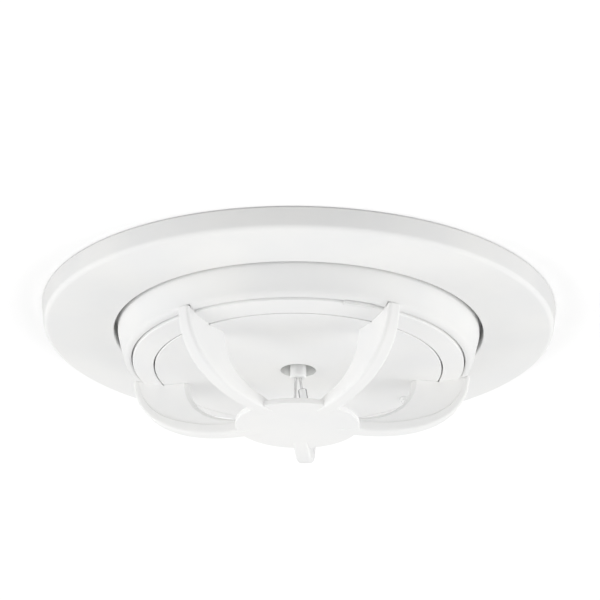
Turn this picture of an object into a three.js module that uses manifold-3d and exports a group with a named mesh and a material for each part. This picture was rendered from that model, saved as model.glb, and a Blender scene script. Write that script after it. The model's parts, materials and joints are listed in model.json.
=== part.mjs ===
// Ceiling heat detector: a plug-in head held by a twist lock in its flanged base.
// Millimetres, +Z up. The origin is the centre of the base's back face, which lies against the ceiling,
// so the whole part hangs below z = 0. An azimuth is counted in degrees from -Y, the front, towards +X.
import * as THREE from 'three';
import { mergeVertices } from 'three/addons/utils/BufferGeometryUtils.js';
import Module from 'manifold-3d';

const wasm = await Module();
wasm.setup();

// Fits, and how finely round forms are faceted
const clearance = 0.3;        // between pieces that seat on each other
const overlap = 0.4;          // how far one form runs into the next before they are joined
const overrun = 1;            // how far a cut reaches past what it cuts
const roundSides = 60;        // sides of a large ring
const innerSides = 44;        // sides of a ring that the cover hides
const smallSides = 16;        // sides of a screw, a lens or a capacitor
const holeSides = 10;         // sides of a small hole
const filletSteps = 4;
const arcStep = 8;            // degrees of a bent block for each of its facets

// Base: a flange that covers the ceiling box, and the socket inside it
const flangeRadius = 77;      // at the ceiling
const flangeDrop = 6.7;       // height of the drafted edge wall
const flangeDraft = 0.5;      // how much smaller the flange is at the foot of that wall
const flangeRound = 2;        // fillet between the edge wall and the face
const boreRadius = 55.4;      // socket that the head sits in
const boreDrop = 7.95;        // level of the face at the bore
const boreChamfer = 0.5;
const baseWall = 2;
const deckThickness = 2.2;
const wireHoleRadius = 17;
const ribCount = 8;           // radial stiffeners at the back of the flange
const ribThickness = 1.6;
const ribSetback = 0.8;       // from the ceiling
const keyholeSpacings = [30, 41.7];   // fixing screws, from the axis, one pair along each
const keyholeAzimuth = 0;
const keyholeSlot = 4.6;
const keyholeHead = 9.4;
const keyholeTravel = 6.5;

// Twist lock
const lockCount = 4;
const lockAzimuth = 20;       // of the first hook and its lug
const hookAngle = 24;
const hookInset = 5;          // from the socket's wall to the outside of a hook
const hookWall = 2.6;
const hookReach = 3.4;        // ledge, inwards from the hook's wall
const ledgeThickness = 1.5;
const ledgeDrop = 4.4;        // from the deck down to the top of the ledge
const stopAngle = 4;          // end wall that stops the head when it is locked
const lugAngle = 14;
const lugThickness = 1.6;
const lugLap = 2.8;           // lug over ledge

// Wiring terminals in the base, and the blades of the head that meet them
const terminalCount = 4;
const terminalAzimuth = 56;
const terminalRadius = 32;
const terminalPad = 0.6;      // raised pad on the deck
const padMargin = 0.5;        // of that pad round the contact
const contactThickness = 0.6;
const contactCorner = 0.6;
const contactWidth = 8;
const contactLength = 8.6;
const fingerWidth = 4.4;
const bladeAngle = 19;        // degrees from the screw to the blade
const bladeLength = 5;
const bladeThickness = 0.6;
const clampSize = 7;
const clampCorner = 0.8;
const clampThickness = 0.8;
const screwHeadRadius = 2.8;
const screwHeadHeight = 1.6;
const screwHeadRound = 0.4;
const screwRadius = 1.5;
const screwPoint = 0.9;       // of its shank, above the deck's lower face
const slotWidth = 0.9;
const slotDepth = 0.7;

// Head: back housing
const socketDepth = 6.5;      // from the deck to the housing's back plate
const housingPlate = 1.6;
const housingWall = 2;
const neckGap = 1;            // between the hooks' ledges and the neck that carries the lugs
const housingSkirt = 1.7;
const boardStandoff = 1.3;
const standoffCount = 3;
const standoffRadius = 2.6;
const standoffCircle = 35;
const standoffPin = 1.1;
const pinProud = 0.8;         // of the pins below the circuit board, where they are staked

// Head: outer cover
const coverGap = 1.2;         // running gap to the bore
const coverDraft = 0.235;     // millimetres of radius for each millimetre of depth
const coverTop = 4.3;
const coverWall = 1.8;
const coverDrop = 17;         // lowest edge, where it meets the cage
const coverRound = 2.2;
const rimInset = 4.3;         // from the cover's side to the opening that the cage ring sits in
const rimThickness = 2;
const notchDrop = 16;         // top of the notches for the fins
const snapCount = 5;
const snapDepth = 0.7;
const snapHeight = 0.8;
const snapAngle = 8;

// Head: cage of curved fins
const cageGap = 0.35;         // round the ring
const cageProud = 0.6;        // how far the ring stands below the cover's edge
const ringWidth = 6.3;
const cageInnerDrop = 19.2;
const cageThickness = 2;
const cageWall = 2;
const cageLip = 1.6;          // outward lip that the cover holds
const lipThickness = 1.4;
const finCount = 5;
const finAzimuth = 32;
const finInset = 1.1;         // from the cover's side to a fin's outer edge where it leaves the cover
const finBulge = -0.7;        // of that edge on its way down
const finBend = 0.716;        // share of the way down at which that edge turns in
const finShoulder = 16.6;      // how far in it has come at the hub's level
const finFoot = 8.1;          // inner edge of a fin, in from the ring's bore
const finInnerBend = [0.48, 0.9];     // shares of the way down at which that edge turns in
const finInnerShoulder = 12.2;
const finTuck = 1.35;         // of the inner edge behind the hub
const finRibWidths = [5.6, 4.8];      // at the cover and at the hub
const finWebWidth = 2.9;
const finNoseWidth = 0.9;
const finNoseDepth = 1.2;
const finCorner = 1.5;
const finLedge = [2, 4.6];    // from the outer edge to the web, at the root and at the hub
const finLedgeRun = 0.6;      // share of the way down over which that ledge grows
const finHollow = [0.4, 0.65];        // deepest point of the hollow side: share along it, share in
const finSteps = 11;
const finFadeSteps = 2;       // where its rib sinks into the hub
const hubRadius = 18.5;
const hubDrop = 37.45;
const hubThickness = 1.8;
const hubRound = 0.35;
const ribProud = 0.4;         // of the fin over the hub's lower face, at the hub's edge
const ribFade = 8.6;          // radius at which the rib has sunk into the hub
const keyAzimuth = 20.5;      // tab on the ring that keys it to the cover
const keyAngle = 10.4;
const keyReach = 0.75;

// Head: sensor plate, which closes the front
const plateGap = 0.4;
const plateSink = 0.05;       // how far its rim lies above the ring's lower edge
const plateDish = 0.55;       // how much lower its middle lies
const plateThickness = 1.7;
const plateRimHeight = 2.4;
const plateRimWall = 2;
const plateHole = 5.27;
const holeLip = [1.2, 0.3];   // width and height of a lip round it on the plate's inner side
const bossCount = 3;
const bossRadius = 2.2;
const bossCircle = 30;
const bossAzimuth = 60;

// Head: circuit board and what is on it
const boardRadius = 40.2;
const boardThickness = 1.6;
const collarRadius = 2.4;
const collarDrop = 22.1;
const collarRound = 0.5;
const leadRadius = 0.25;
const leadSpacing = 1.46;
const leadStep = 1;           // length of one of its facets
const leadBend = 0.75;        // share of the way at which a lead turns towards the bead
const beadRadius = 1.3;
const beadLength = 4.4;
const beadRounds = [0.35, 0.6];       // at its top and its lower end
const beadTop = 25.8;
const beadOffset = 1.3;       // of its top from the axis, towards +X
const beadLean = 8.6;         // degrees
const leadLoop = 1.3;         // how far the looped lead passes below the bead
const ledRadius = 1.5;
const ledInset = 3.85;        // of its centre from the ring's bore
const ledAzimuth = 124.6;
const ledProud = 1.5;
const ledRound = 1.2;
const chipSize = 7;
const chipThickness = 1.2;
const chipPlace = [13, -12];
const capacitorRadius = 3.15;
const capacitorHeight = 3.4;
const capacitorRound = 0.4;
const capacitorPlace = [-15, -10];
const reedRadius = 1.1;
const reedLength = 13;
const reedRound = 0.6;
const reedPlace = [0, 22];
const bridgeWidth = 4.6;
const bridgeLength = 3.8;
const bridgeThickness = 1.9;
const bridgePlace = [-14, 12];

// Levels and radii that follow from them
const deckUnder = -deckThickness;
const ledgeTop = deckUnder - ledgeDrop;
const plateTop = deckUnder - socketDepth;
const housingUnder = plateTop - housingPlate;
const boardTop = housingUnder - boardStandoff;
const boardUnder = boardTop - boardThickness;
const padUnder = deckUnder - terminalPad;
const contactTop = padUnder - clearance;
const contactUnder = contactTop - contactThickness;
const clampTop = contactUnder - clearance;
const clampUnder = clampTop - clampThickness;
const screwHeadTop = clampUnder - clearance;
const bladeTop = contactUnder - clearance;
const bladeUnder = bladeTop - bladeThickness;
const hookOuter = boreRadius - hookInset;
const housingNeck = hookOuter - hookWall - hookReach - neckGap;
const coverRadius = boreRadius - coverGap;
const coverInner = coverRadius - coverWall;
const rimRadius = coverRadius - rimInset;
const ringOuter = rimRadius - cageGap;
const cageInner = ringOuter - ringWidth;
const finReach = coverRadius - finInset;
const ringDrop = coverDrop + cageProud;
const shelfTop = -(coverDrop - rimThickness);
const lipUnder = shelfTop + clearance;
const lipTop = lipUnder + lipThickness;
const lipRadius = ringOuter + cageLip;
const coverLowInner = lipRadius + clearance;
const coverLedge = housingUnder - clearance;
const housingRadius = coverInner - clearance;
const plateRadius = cageInner - plateGap;
const plateRimDrop = cageInnerDrop - plateSink;
const ledCircle = cageInner - ledInset;

const rad = THREE.MathUtils.degToRad;
const lerp = THREE.MathUtils.lerp;
const planeAngle = (azimuth) => rad(azimuth - 90);

// Level of the sensor plate's lower face at a radius
const plateFace = (radius) => -plateRimDrop - plateDish * (1 - radius / plateRadius);

// Corner of a profile [r, z, fillet], replaced by an arc of points where it has a fillet
function rounded(corners, steps) {
  const points = [];
  corners.forEach(([r, z, fillet], index) => {
    const corner = new THREE.Vector2(r, z);
    if (!fillet) {
      points.push(corner);
      return;
    }
    const before = corners[(index + corners.length - 1) % corners.length];
    const after = corners[(index + 1) % corners.length];
    const toBefore = new THREE.Vector2(before[0], before[1]).sub(corner).normalize();
    const toAfter = new THREE.Vector2(after[0], after[1]).sub(corner).normalize();
    const half = Math.acos(THREE.MathUtils.clamp(toBefore.dot(toAfter), -1, 1)) / 2;
    const run = fillet / Math.tan(half);
    const start = corner.clone().addScaledVector(toBefore, run);
    const end = corner.clone().addScaledVector(toAfter, run);
    const middle = toBefore.clone().add(toAfter).normalize();
    const centre = corner.clone().addScaledVector(middle, fillet / Math.sin(half));
    const from = start.clone().sub(centre).angle();
    let sweep = end.clone().sub(centre).angle() - from;
    if (sweep > Math.PI) sweep -= 2 * Math.PI;
    if (sweep < -Math.PI) sweep += 2 * Math.PI;
    for (let step = 0; step <= steps; step += 1) {
      const angle = from + sweep * step / steps;
      points.push(new THREE.Vector2(Math.cos(angle), Math.sin(angle)).multiplyScalar(fillet).add(centre));
    }
  });
  return points;
}

// Closed mesh as a solid that can be joined and cut
function solid(geometry) {
  const bare = geometry.clone();
  bare.deleteAttribute('normal');
  bare.deleteAttribute('uv');
  const merged = mergeVertices(bare, 1e-5);
  const corners = merged.index.array;
  const triangles = [];
  for (let start = 0; start < corners.length; start += 3) {
    const [a, b, c] = corners.subarray(start, start + 3);
    if (a !== b && b !== c && c !== a) triangles.push(a, b, c);
  }
  const triVerts = Uint32Array.from(triangles);
  const vertProperties = Float32Array.from(merged.attributes.position.array);
  return new wasm.Manifold(new wasm.Mesh({ numProp: 3, vertProperties, triVerts }));
}

function geometryOf(body) {
  const mesh = body.getMesh();
  const geometry = new THREE.BufferGeometry();
  const positions = new Float32Array(mesh.numVert * 3);
  for (let vertex = 0; vertex < mesh.numVert; vertex += 1) {
    for (let axis = 0; axis < 3; axis += 1) {
      positions[vertex * 3 + axis] = mesh.vertProperties[vertex * mesh.numProp + axis];
    }
  }
  geometry.setAttribute('position', new THREE.BufferAttribute(positions, 3));
  geometry.setIndex(new THREE.BufferAttribute(Uint32Array.from(mesh.triVerts), 1));
  geometry.computeVertexNormals();
  return geometry;
}

const joined = (parts) => parts.reduce((whole, part) => whole.add(part));
const cutBy = (body, tools) => tools.reduce((rest, tool) => rest.subtract(tool), body);

// Solid of revolution about Z from a closed profile of [r, z, fillet] corners, walked with the material
// on its left
function turned(corners, sides = roundSides, steps = filletSteps) {
  const points = rounded(corners, steps);
  points.push(points[0].clone());
  const geometry = new THREE.LatheGeometry(points, sides);
  geometry.rotateX(Math.PI / 2);
  return solid(geometry);
}

// Flat outline in X and Y, raised from one level to another
function raised(shape, low, high, curveSegments = 12) {
  const depth = high - low;
  const geometry = new THREE.ExtrudeGeometry(shape, { depth, bevelEnabled: false, curveSegments });
  geometry.translate(0, 0, low);
  return solid(geometry);
}

// Block between two radii and two azimuths
function arcBlock(inner, outer, fromAzimuth, toAzimuth, low, high) {
  const shape = new THREE.Shape();
  shape.absarc(0, 0, outer, planeAngle(fromAzimuth), planeAngle(toAzimuth), false);
  shape.absarc(0, 0, inner, planeAngle(toAzimuth), planeAngle(fromAzimuth), true);
  const steps = Math.max(2, Math.ceil((toAzimuth - fromAzimuth) / arcStep));
  return raised(shape, low, high, steps);
}

function cylinder(radius, low, high, x = 0, y = 0, sides = smallSides) {
  const geometry = new THREE.CylinderGeometry(radius, radius, high - low, sides);
  geometry.rotateX(Math.PI / 2);
  geometry.translate(x, y, (low + high) / 2);
  return solid(geometry);
}

// Box from its centre in X and Y, its width and length, and its levels
function block(width, length, low, high, x = 0, y = 0) {
  const geometry = new THREE.BoxGeometry(width, length, high - low);
  geometry.translate(x, y, (low + high) / 2);
  return solid(geometry);
}

// Flat plate with rounded corners, from its centre in X and Y
function roundedPlate(width, length, corner, low, high, x = 0, y = 0) {
  const right = x + width / 2;
  const left = x - width / 2;
  const back = y + length / 2;
  const front = y - length / 2;
  const shape = new THREE.Shape();
  shape.absarc(right - corner, front + corner, corner, -Math.PI / 2, 0, false);
  shape.absarc(right - corner, back - corner, corner, 0, Math.PI / 2, false);
  shape.absarc(left + corner, back - corner, corner, Math.PI / 2, Math.PI, false);
  shape.absarc(left + corner, front + corner, corner, Math.PI, 1.5 * Math.PI, false);
  return raised(shape, low, high, 2);
}

const turnedTo = (body, azimuth) => body.rotate([0, 0, azimuth]);
const around = (count, first, make) => (
  Array.from({ length: count }, (_, index) => make(first + index * 360 / count)));

// Base

function flangeShell() {
  const foot = flangeRadius - flangeDraft;
  const slope = (boreDrop - flangeDrop) / (foot - boreRadius);
  const skirtOuter = boreRadius + baseWall;
  const insideTop = flangeRadius - baseWall;
  const insideFoot = foot - baseWall;
  return turned([
    [wireHoleRadius, 0],
    [wireHoleRadius, deckUnder],
    [boreRadius, deckUnder],
    [boreRadius, -(boreDrop - boreChamfer)],
    [boreRadius + boreChamfer, -(boreDrop - slope * boreChamfer)],
    [foot, -flangeDrop, flangeRound],
    [flangeRadius, 0],
    [insideTop, 0],
    [insideFoot, -(flangeDrop - baseWall)],
    [skirtOuter, -(boreDrop - baseWall)],
    [skirtOuter, 0],
  ], roundSides, 3);
}

function flangeRib(azimuth) {
  const inner = boreRadius + baseWall - overlap;
  const outer = flangeRadius - baseWall + overlap;
  const low = -(boreDrop - baseWall + overlap / 2);
  const rib = block(ribThickness, outer - inner, low, -ribSetback, 0, -(inner + outer) / 2);
  return turnedTo(rib, azimuth);
}

// Hook on the deck: a wall, a ledge that the lug of the head lies on, and a stop at one end
function lockHook(azimuth) {
  const half = hookAngle / 2;
  const wallInner = hookOuter - hookWall;
  const low = ledgeTop - ledgeThickness;
  const high = deckUnder + overlap;
  const stopFrom = azimuth + lugAngle / 2 + clearanceAngle(wallInner);
  return joined([
    arcBlock(wallInner, hookOuter, azimuth - half, azimuth + half, low, high),
    arcBlock(wallInner - hookReach, wallInner + overlap, azimuth - half, azimuth + half, low, ledgeTop),
    arcBlock(wallInner - hookReach, wallInner + overlap, stopFrom, stopFrom + stopAngle, low, high),
  ]);
}

const clearanceAngle = (radius) => THREE.MathUtils.radToDeg(clearance / radius);

// Keyhole for a fixing screw: a round entry for its head and a slot outwards from it
function keyhole(distance, azimuth) {
  const high = overrun;
  const low = deckUnder - overrun;
  const entry = cylinder(keyholeHead / 2, low, high, 0, -(distance - keyholeTravel));
  const slot = block(keyholeSlot, keyholeTravel, low, high, 0, -(distance - keyholeTravel / 2));
  const end = cylinder(keyholeSlot / 2, low, high, 0, -distance);
  return turnedTo(joined([entry, slot, end]), azimuth);
}

function terminalSeat(azimuth) {
  const width = contactWidth + 2 * padMargin;
  const length = contactLength + 2 * padMargin;
  return turnedTo(block(width, length, padUnder, deckUnder + overlap, 0, -terminalRadius), azimuth);
}

function baseBody() {
  const keyAzimuths = keyholeSpacings.map((_, index) => keyholeAzimuth + index * 90);
  const keyholes = keyholeSpacings.flatMap((distance, index) => [
    keyhole(distance, keyAzimuths[index]), keyhole(distance, keyAzimuths[index] + 180)]);
  const screwHoles = around(terminalCount, terminalAzimuth,
    (azimuth) => turnedTo(screwHole(padUnder, 0), azimuth));
  const body = joined([
    flangeShell(),
    ...around(ribCount, 180 / ribCount, flangeRib),
    ...around(lockCount, lockAzimuth, lockHook),
    ...around(terminalCount, terminalAzimuth, terminalSeat),
  ]);
  return cutBy(body, [...keyholes, ...screwHoles]);
}

// Terminal, drawn at azimuth 0 and turned to its place by its group

const screwHole = (low, high) => (
  cylinder(screwRadius + clearance, low - overrun, high + overrun, 0, -terminalRadius, holeSides));

function terminalContact() {
  const plate = roundedPlate(contactWidth, contactLength, contactCorner, contactUnder, contactTop,
    0, -terminalRadius);
  const fingerTip = terminalRadius * Math.sin(rad(bladeAngle)) + bladeLength / 2;
  const finger = arcBlock(terminalRadius - fingerWidth / 2, terminalRadius + fingerWidth / 2,
    -THREE.MathUtils.radToDeg(fingerTip / terminalRadius), 0, contactUnder, contactTop);
  const hole = screwHole(contactUnder, contactTop);
  return plate.add(finger).subtract(hole);
}

function terminalClamp() {
  const plate = roundedPlate(clampSize, clampSize, clampCorner, clampUnder, clampTop, 0, -terminalRadius);
  return plate.subtract(screwHole(clampUnder, clampTop));
}

function terminalScrew() {
  const low = screwHeadTop - screwHeadHeight;
  const head = turned([
    [0, screwHeadTop],
    [0, low],
    [screwHeadRadius, low, screwHeadRound],
    [screwHeadRadius, screwHeadTop],
  ], smallSides, 2);
  const shank = cylinder(screwRadius, screwHeadTop - overlap, deckUnder + screwPoint, 0, 0, holeSides);
  const slot = block(2 * (screwHeadRadius + overrun), slotWidth, low - overrun, low + slotDepth);
  return head.add(shank).subtract(slot);
}

// Head

function housingLug(azimuth) {
  const half = lugAngle / 2;
  const low = ledgeTop + clearance;
  const outer = hookOuter - hookWall - hookReach + lugLap;
  return arcBlock(housingNeck - overlap, outer, azimuth - half, azimuth + half, low, low + lugThickness);
}

function housingBody() {
  const neckInner = housingNeck - housingWall;
  const neckTop = ledgeTop + clearance + lugThickness;
  const skirtInner = lipRadius - housingSkirt;
  const skirtLow = lipTop + clearance;
  const shell = turned([
    [0, plateTop],
    [0, housingUnder],
    [skirtInner, housingUnder],
    [skirtInner, skirtLow],
    [lipRadius, skirtLow],
    [lipRadius, housingUnder],
    [housingRadius, housingUnder],
    [housingRadius, plateTop],
    [housingNeck, plateTop],
    [housingNeck, neckTop],
    [neckInner, neckTop],
    [neckInner, plateTop],
  ], innerSides);
  const posts = around(standoffCount, 0, (azimuth) => turnedTo(joined([
    cylinder(standoffRadius, boardTop + clearance, housingUnder + overlap, 0, -standoffCircle),
    cylinder(standoffPin, boardUnder - pinProud, housingUnder + overlap, 0, -standoffCircle, holeSides),
  ]), azimuth));
  const slots = around(terminalCount, terminalAzimuth - bladeAngle, (azimuth) => turnedTo(
    block(bladeThickness + 2 * clearance, fingerWidth + 2 * clearance, housingUnder - overrun,
      plateTop + overrun, -(bladeLength - bladeThickness) / 2, -terminalRadius), azimuth));
  return cutBy(joined([shell, ...around(lockCount, lockAzimuth, housingLug), ...posts]), slots);
}

// Contact blade: a pad under the finger of the terminal and a leg down to the circuit board
function contactBlade() {
  const left = -bladeLength / 2;
  const pad = block(bladeLength, fingerWidth, bladeUnder, bladeTop, 0, -terminalRadius);
  const leg = block(bladeThickness, fingerWidth, boardTop + clearance, bladeTop,
    left + bladeThickness / 2, -terminalRadius);
  return pad.add(leg);
}

function coverBody() {
  const wallFoot = coverRadius - coverDraft * (coverDrop - boreDrop);
  const shell = turned([
    [coverLowInner, shelfTop],
    [rimRadius, shelfTop],
    [rimRadius, -coverDrop],
    [wallFoot, -coverDrop, coverRound],
    [coverRadius, -boreDrop],
    [coverRadius, -coverTop],
    [coverInner, -coverTop],
    [coverInner, coverLedge],
    [coverLowInner, coverLedge],
  ], roundSides, 3);
  const snapLow = plateTop + clearance;
  const half = snapAngle / 2;
  const snaps = around(snapCount, finAzimuth + 180 / snapCount, (azimuth) => arcBlock(
    coverInner - snapDepth, coverInner + overlap, azimuth - half, azimuth + half,
    snapLow, snapLow + snapHeight));
  const width = finRibWidths[0] + 2 * clearance;
  const notches = around(finCount, finAzimuth, (azimuth) => turnedTo(
    block(width, coverRadius - rimRadius + 2 * overrun, -coverDrop - overrun, -notchDrop,
      0, -(coverRadius + rimRadius) / 2), azimuth));
  const keyHalf = keyAngle / 2 + clearanceAngle(rimRadius);
  const keyway = arcBlock(rimRadius - overrun, ringOuter + keyReach + clearance, keyAzimuth - keyHalf,
    keyAzimuth + keyHalf, -coverDrop - overrun, shelfTop + overrun);
  return cutBy(joined([shell, ...snaps]), [...notches, keyway]);
}

// Cage

// Outer edge of a fin in its own plane: down from the cover, round to the hub's edge, then into the hub
function finOuter(step) {
  const atHub = new THREE.Vector2(hubRadius, -(hubDrop + ribProud));
  const edge = new THREE.CubicBezierCurve(
    new THREE.Vector2(finReach, -(notchDrop + clearance)),
    new THREE.Vector2(finReach + finBulge, -lerp(notchDrop, hubDrop, finBend)),
    new THREE.Vector2(finReach - finShoulder, atHub.y),
    atHub,
  );
  const fade = new THREE.QuadraticBezierCurve(
    atHub,
    new THREE.Vector2((hubRadius + ribFade) / 2, atHub.y),
    new THREE.Vector2(ribFade, -(hubDrop - overlap)),
  );
  return step <= 1 ? edge.getPoint(step) : fade.getPoint(step - 1);
}

// Inner edge, which the outer one runs ahead of round the bend
function finInner(step) {
  const overHub = -(hubDrop - hubThickness - finTuck);
  const root = -(cageInnerDrop - overlap);
  const edge = new THREE.CubicBezierCurve(
    new THREE.Vector2(cageInner - finFoot, root),
    new THREE.Vector2(cageInner - finFoot, lerp(root, overHub, finInnerBend[0])),
    new THREE.Vector2(cageInner - finInnerShoulder, lerp(root, overHub, finInnerBend[1])),
    new THREE.Vector2(hubRadius - overrun, overHub),
  );
  const inHub = new THREE.Vector2(ribFade, -(hubDrop - hubThickness + overlap));
  return step <= 1 ? edge.getPoint(step ** 2) : edge.getPoint(1).lerp(inHub, step - 1);
}

// Half of the fin's section from the outer edge inwards: how far in, and half the width there. The rib
// has a rounded corner, and its side runs into the web in a hollow.
function finSection(depth, step) {
  const [rootLedge, hubLedge] = finLedge;
  const room = depth / 5;
  const ledge = Math.min(lerp(rootLedge, hubLedge, Math.min(1, step / finLedgeRun)), 4 * room);
  const nose = Math.min(finNoseDepth, room);
  const corner = Math.min(finCorner, 2 * room);
  const bevel = corner * (1 - Math.SQRT1_2);
  const [rootWidth, hubWidth] = finRibWidths;
  const rib = lerp(rootWidth, hubWidth, Math.min(1, step)) / 2;
  const web = finWebWidth / 2;
  const [hollowRun, hollowDepth] = finHollow;
  return [
    [0, rib - corner],
    [bevel, rib - bevel],
    [corner, rib],
    [lerp(corner, ledge, hollowRun), lerp(rib, web, hollowDepth)],
    [ledge, web],
    [depth - nose, web],
    [depth, finNoseWidth / 2],
  ];
}

// Fin as a loft of such sections along its two edges, in the plane of azimuth 0
function finBody() {
  const steps = Array.from({ length: finSteps + finFadeSteps + 1 }, (_, index) => (
    index <= finSteps ? index / finSteps : 1 + (index - finSteps) / finFadeSteps));
  const positions = [];
  const rings = steps.map((step) => {
    const outer = finOuter(step);
    const inward = finInner(step).sub(outer);
    const depth = inward.length();
    inward.normalize();
    const half = finSection(depth, step);
    const mirrored = half.map(([run, width]) => [run, -width]);
    const loop = [...half, ...mirrored.reverse()];
    return loop.map(([run, width]) => {
      positions.push(width, -(outer.x + inward.x * run), outer.y + inward.y * run);
      return positions.length / 3 - 1;
    });
  });
  const faces = [];
  for (let ring = 0; ring + 1 < rings.length; ring += 1) {
    rings[ring].forEach((corner, index) => {
      const next = (index + 1) % rings[ring].length;
      const here = rings[ring];
      const there = rings[ring + 1];
      faces.push(corner, there[index], here[next], here[next], there[index], there[next]);
    });
  }
  // The end sections are mirror images in X, so their caps are strips across it
  const cap = (ring, flip) => {
    const count = ring.length;
    for (let index = 0; index + 1 < count / 2; index += 1) {
      const quad = [ring[index], ring[index + 1], ring[count - 2 - index], ring[count - 1 - index]];
      if (flip) quad.reverse();
      faces.push(quad[0], quad[1], quad[2], quad[0], quad[2], quad[3]);
    }
  };
  cap(rings[0], false);
  cap(rings[rings.length - 1], true);
  const geometry = new THREE.BufferGeometry();
  geometry.setAttribute('position', new THREE.Float32BufferAttribute(positions, 3));
  geometry.setIndex(faces);
  return solid(geometry);
}

// Room that the sensor plate needs, with its clearance, up through the ring
function plateRoom() {
  const low = [[0, plateFace(0) - clearance], [cageInner, plateFace(plateRadius) - clearance]];
  return turned([[0, 0], ...low, [cageInner, 0]]);
}

function cageBody() {
  const wallInner = ringOuter - cageWall;
  const ring = turned([
    [cageInner, -(cageInnerDrop - cageThickness)],
    [cageInner, -cageInnerDrop],
    [ringOuter, -ringDrop],
    [ringOuter, lipUnder],
    [lipRadius, lipUnder],
    [lipRadius, lipTop],
    [wallInner, lipTop],
    [wallInner, -(ringDrop - cageThickness)],
  ]);
  const key = arcBlock(ringOuter - overlap, ringOuter + keyReach, keyAzimuth - keyAngle / 2,
    keyAzimuth + keyAngle / 2, -ringDrop, lipUnder + overlap);
  const hub = turned([
    [0, -(hubDrop - hubThickness)],
    [0, -hubDrop],
    [hubRadius, -hubDrop, hubRound],
    [hubRadius, -(hubDrop - hubThickness), hubRound],
  ], innerSides, 1);
  const fin = finBody().subtract(plateRoom());
  const fins = around(finCount, finAzimuth, (azimuth) => turnedTo(fin, azimuth));
  return joined([ring, key, ...fins, hub]);
}

// Sensor plate with its hole, its raised rim and the bosses that hold it to the board
function sensorPlateBody() {
  const top = (radius) => plateFace(radius) + plateThickness;
  const rimInner = plateRadius - plateRimWall;
  const lipOuter = plateHole + holeLip[0];
  const lipLevel = top(plateHole) + holeLip[1];
  const plate = turned([
    [plateHole, lipLevel],
    [plateHole, plateFace(plateHole)],
    [plateRadius, plateFace(plateRadius)],
    [plateRadius, top(plateRadius) + plateRimHeight],
    [rimInner, top(plateRadius) + plateRimHeight],
    [rimInner, top(rimInner)],
    [lipOuter, top(lipOuter)],
    [lipOuter, lipLevel],
  ], innerSides);
  const bosses = around(bossCount, bossAzimuth, (azimuth) => turnedTo(cylinder(
    bossRadius, top(bossCircle) - overlap, boardUnder - clearance, 0, -bossCircle), azimuth));
  const ledHole = turnedTo(cylinder(ledRadius + clearance, plateFace(ledCircle) - overrun, boardUnder,
    0, -ledCircle), ledAzimuth);
  return joined([plate, ...bosses]).subtract(ledHole);
}

// Circuit board and what it carries

function boardBody() {
  const disc = cylinder(boardRadius, boardUnder, boardTop, 0, 0, innerSides);
  const low = boardUnder - overrun;
  const high = boardTop + overrun;
  const pins = around(standoffCount, 0, (azimuth) => turnedTo(
    cylinder(standoffPin + clearance, low, high, 0, -standoffCircle, holeSides), azimuth));
  const leads = [-1, 1].map((side) => cylinder(
    leadRadius + clearance, low, high, side * leadSpacing / 2, 0, holeSides));
  return cutBy(disc, [...pins, ...leads]);
}

function collarBody() {
  const top = boardUnder - clearance;
  const collar = turned([
    [0, top],
    [0, -collarDrop],
    [collarRadius, -collarDrop, collarRound],
    [collarRadius, top],
  ], smallSides, 2);
  const bores = [-1, 1].map((side) => cylinder(
    leadRadius + clearance, -collarDrop - overrun, top + overrun, side * leadSpacing / 2, 0, holeSides));
  return cutBy(collar, bores);
}

const beadAxis = () => new THREE.Vector3(Math.sin(rad(beadLean)), 0, -Math.cos(rad(beadLean)));
const beadPoint = (along) => new THREE.Vector3(beadOffset, 0, -beadTop).addScaledVector(beadAxis(), along);

function beadBody() {
  const [topRound, lowRound] = beadRounds;
  const bead = turned([
    [0, 0],
    [0, -beadLength],
    [beadRadius, -beadLength, lowRound],
    [beadRadius, 0, topRound],
  ], smallSides, 2);
  return bead.rotate([0, -beadLean, 0]).translate([beadOffset, 0, -beadTop]);
}

function wire(points) {
  const section = new THREE.Shape();
  section.absarc(0, 0, leadRadius, 0, 2 * Math.PI, false);
  const extrudePath = new THREE.CatmullRomCurve3(points, false, 'centripetal');
  const steps = Math.ceil(extrudePath.getLength() / leadStep);
  return solid(new THREE.ExtrudeGeometry(section, { steps, curveSegments: 3, extrudePath }));
}

// Lead that goes straight into the top of the bead
function shortLead() {
  const x = leadSpacing / 2;
  const end = beadPoint(-clearance);
  return wire([
    new THREE.Vector3(x, 0, boardTop),
    new THREE.Vector3(x, 0, -collarDrop),
    new THREE.Vector3((x + end.x) / 2, 0, lerp(-collarDrop, end.z, leadBend)),
    end,
  ]);
}

// Lead that passes beside the bead and comes up into its lower end
function loopedLead() {
  const x = -leadSpacing / 2;
  const end = beadPoint(beadLength + clearance);
  const low = end.z - leadLoop;
  return wire([
    new THREE.Vector3(x, 0, boardTop),
    new THREE.Vector3(x, 0, -collarDrop),
    new THREE.Vector3(x, 0, end.z),
    new THREE.Vector3(lerp(x, end.x, 1 - leadBend), 0, lerp(end.z, low, leadBend)),
    new THREE.Vector3((x + end.x) / 2, 0, low),
    new THREE.Vector3(lerp(x, end.x, leadBend), 0, lerp(end.z, low, leadBend)),
    end,
  ]);
}

function ledBody() {
  const low = plateFace(ledCircle) - ledProud;
  const top = boardUnder - clearance;
  const lens = turned([[0, top], [0, low], [ledRadius, low, ledRound], [ledRadius, top]], smallSides, 3);
  return turnedTo(lens.translate([0, -ledCircle, 0]), ledAzimuth);
}

const underBoard = (height) => [boardUnder - clearance - height, boardUnder - clearance];

function chipBody() {
  const [low, high] = underBoard(chipThickness);
  return block(chipSize, chipSize, low, high, ...chipPlace);
}

function capacitorBody() {
  const [low, high] = underBoard(capacitorHeight);
  const can = [[0, high], [0, low], [capacitorRadius, low, capacitorRound], [capacitorRadius, high]];
  return turned(can, smallSides, 2).translate([...capacitorPlace, 0]);
}

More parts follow.
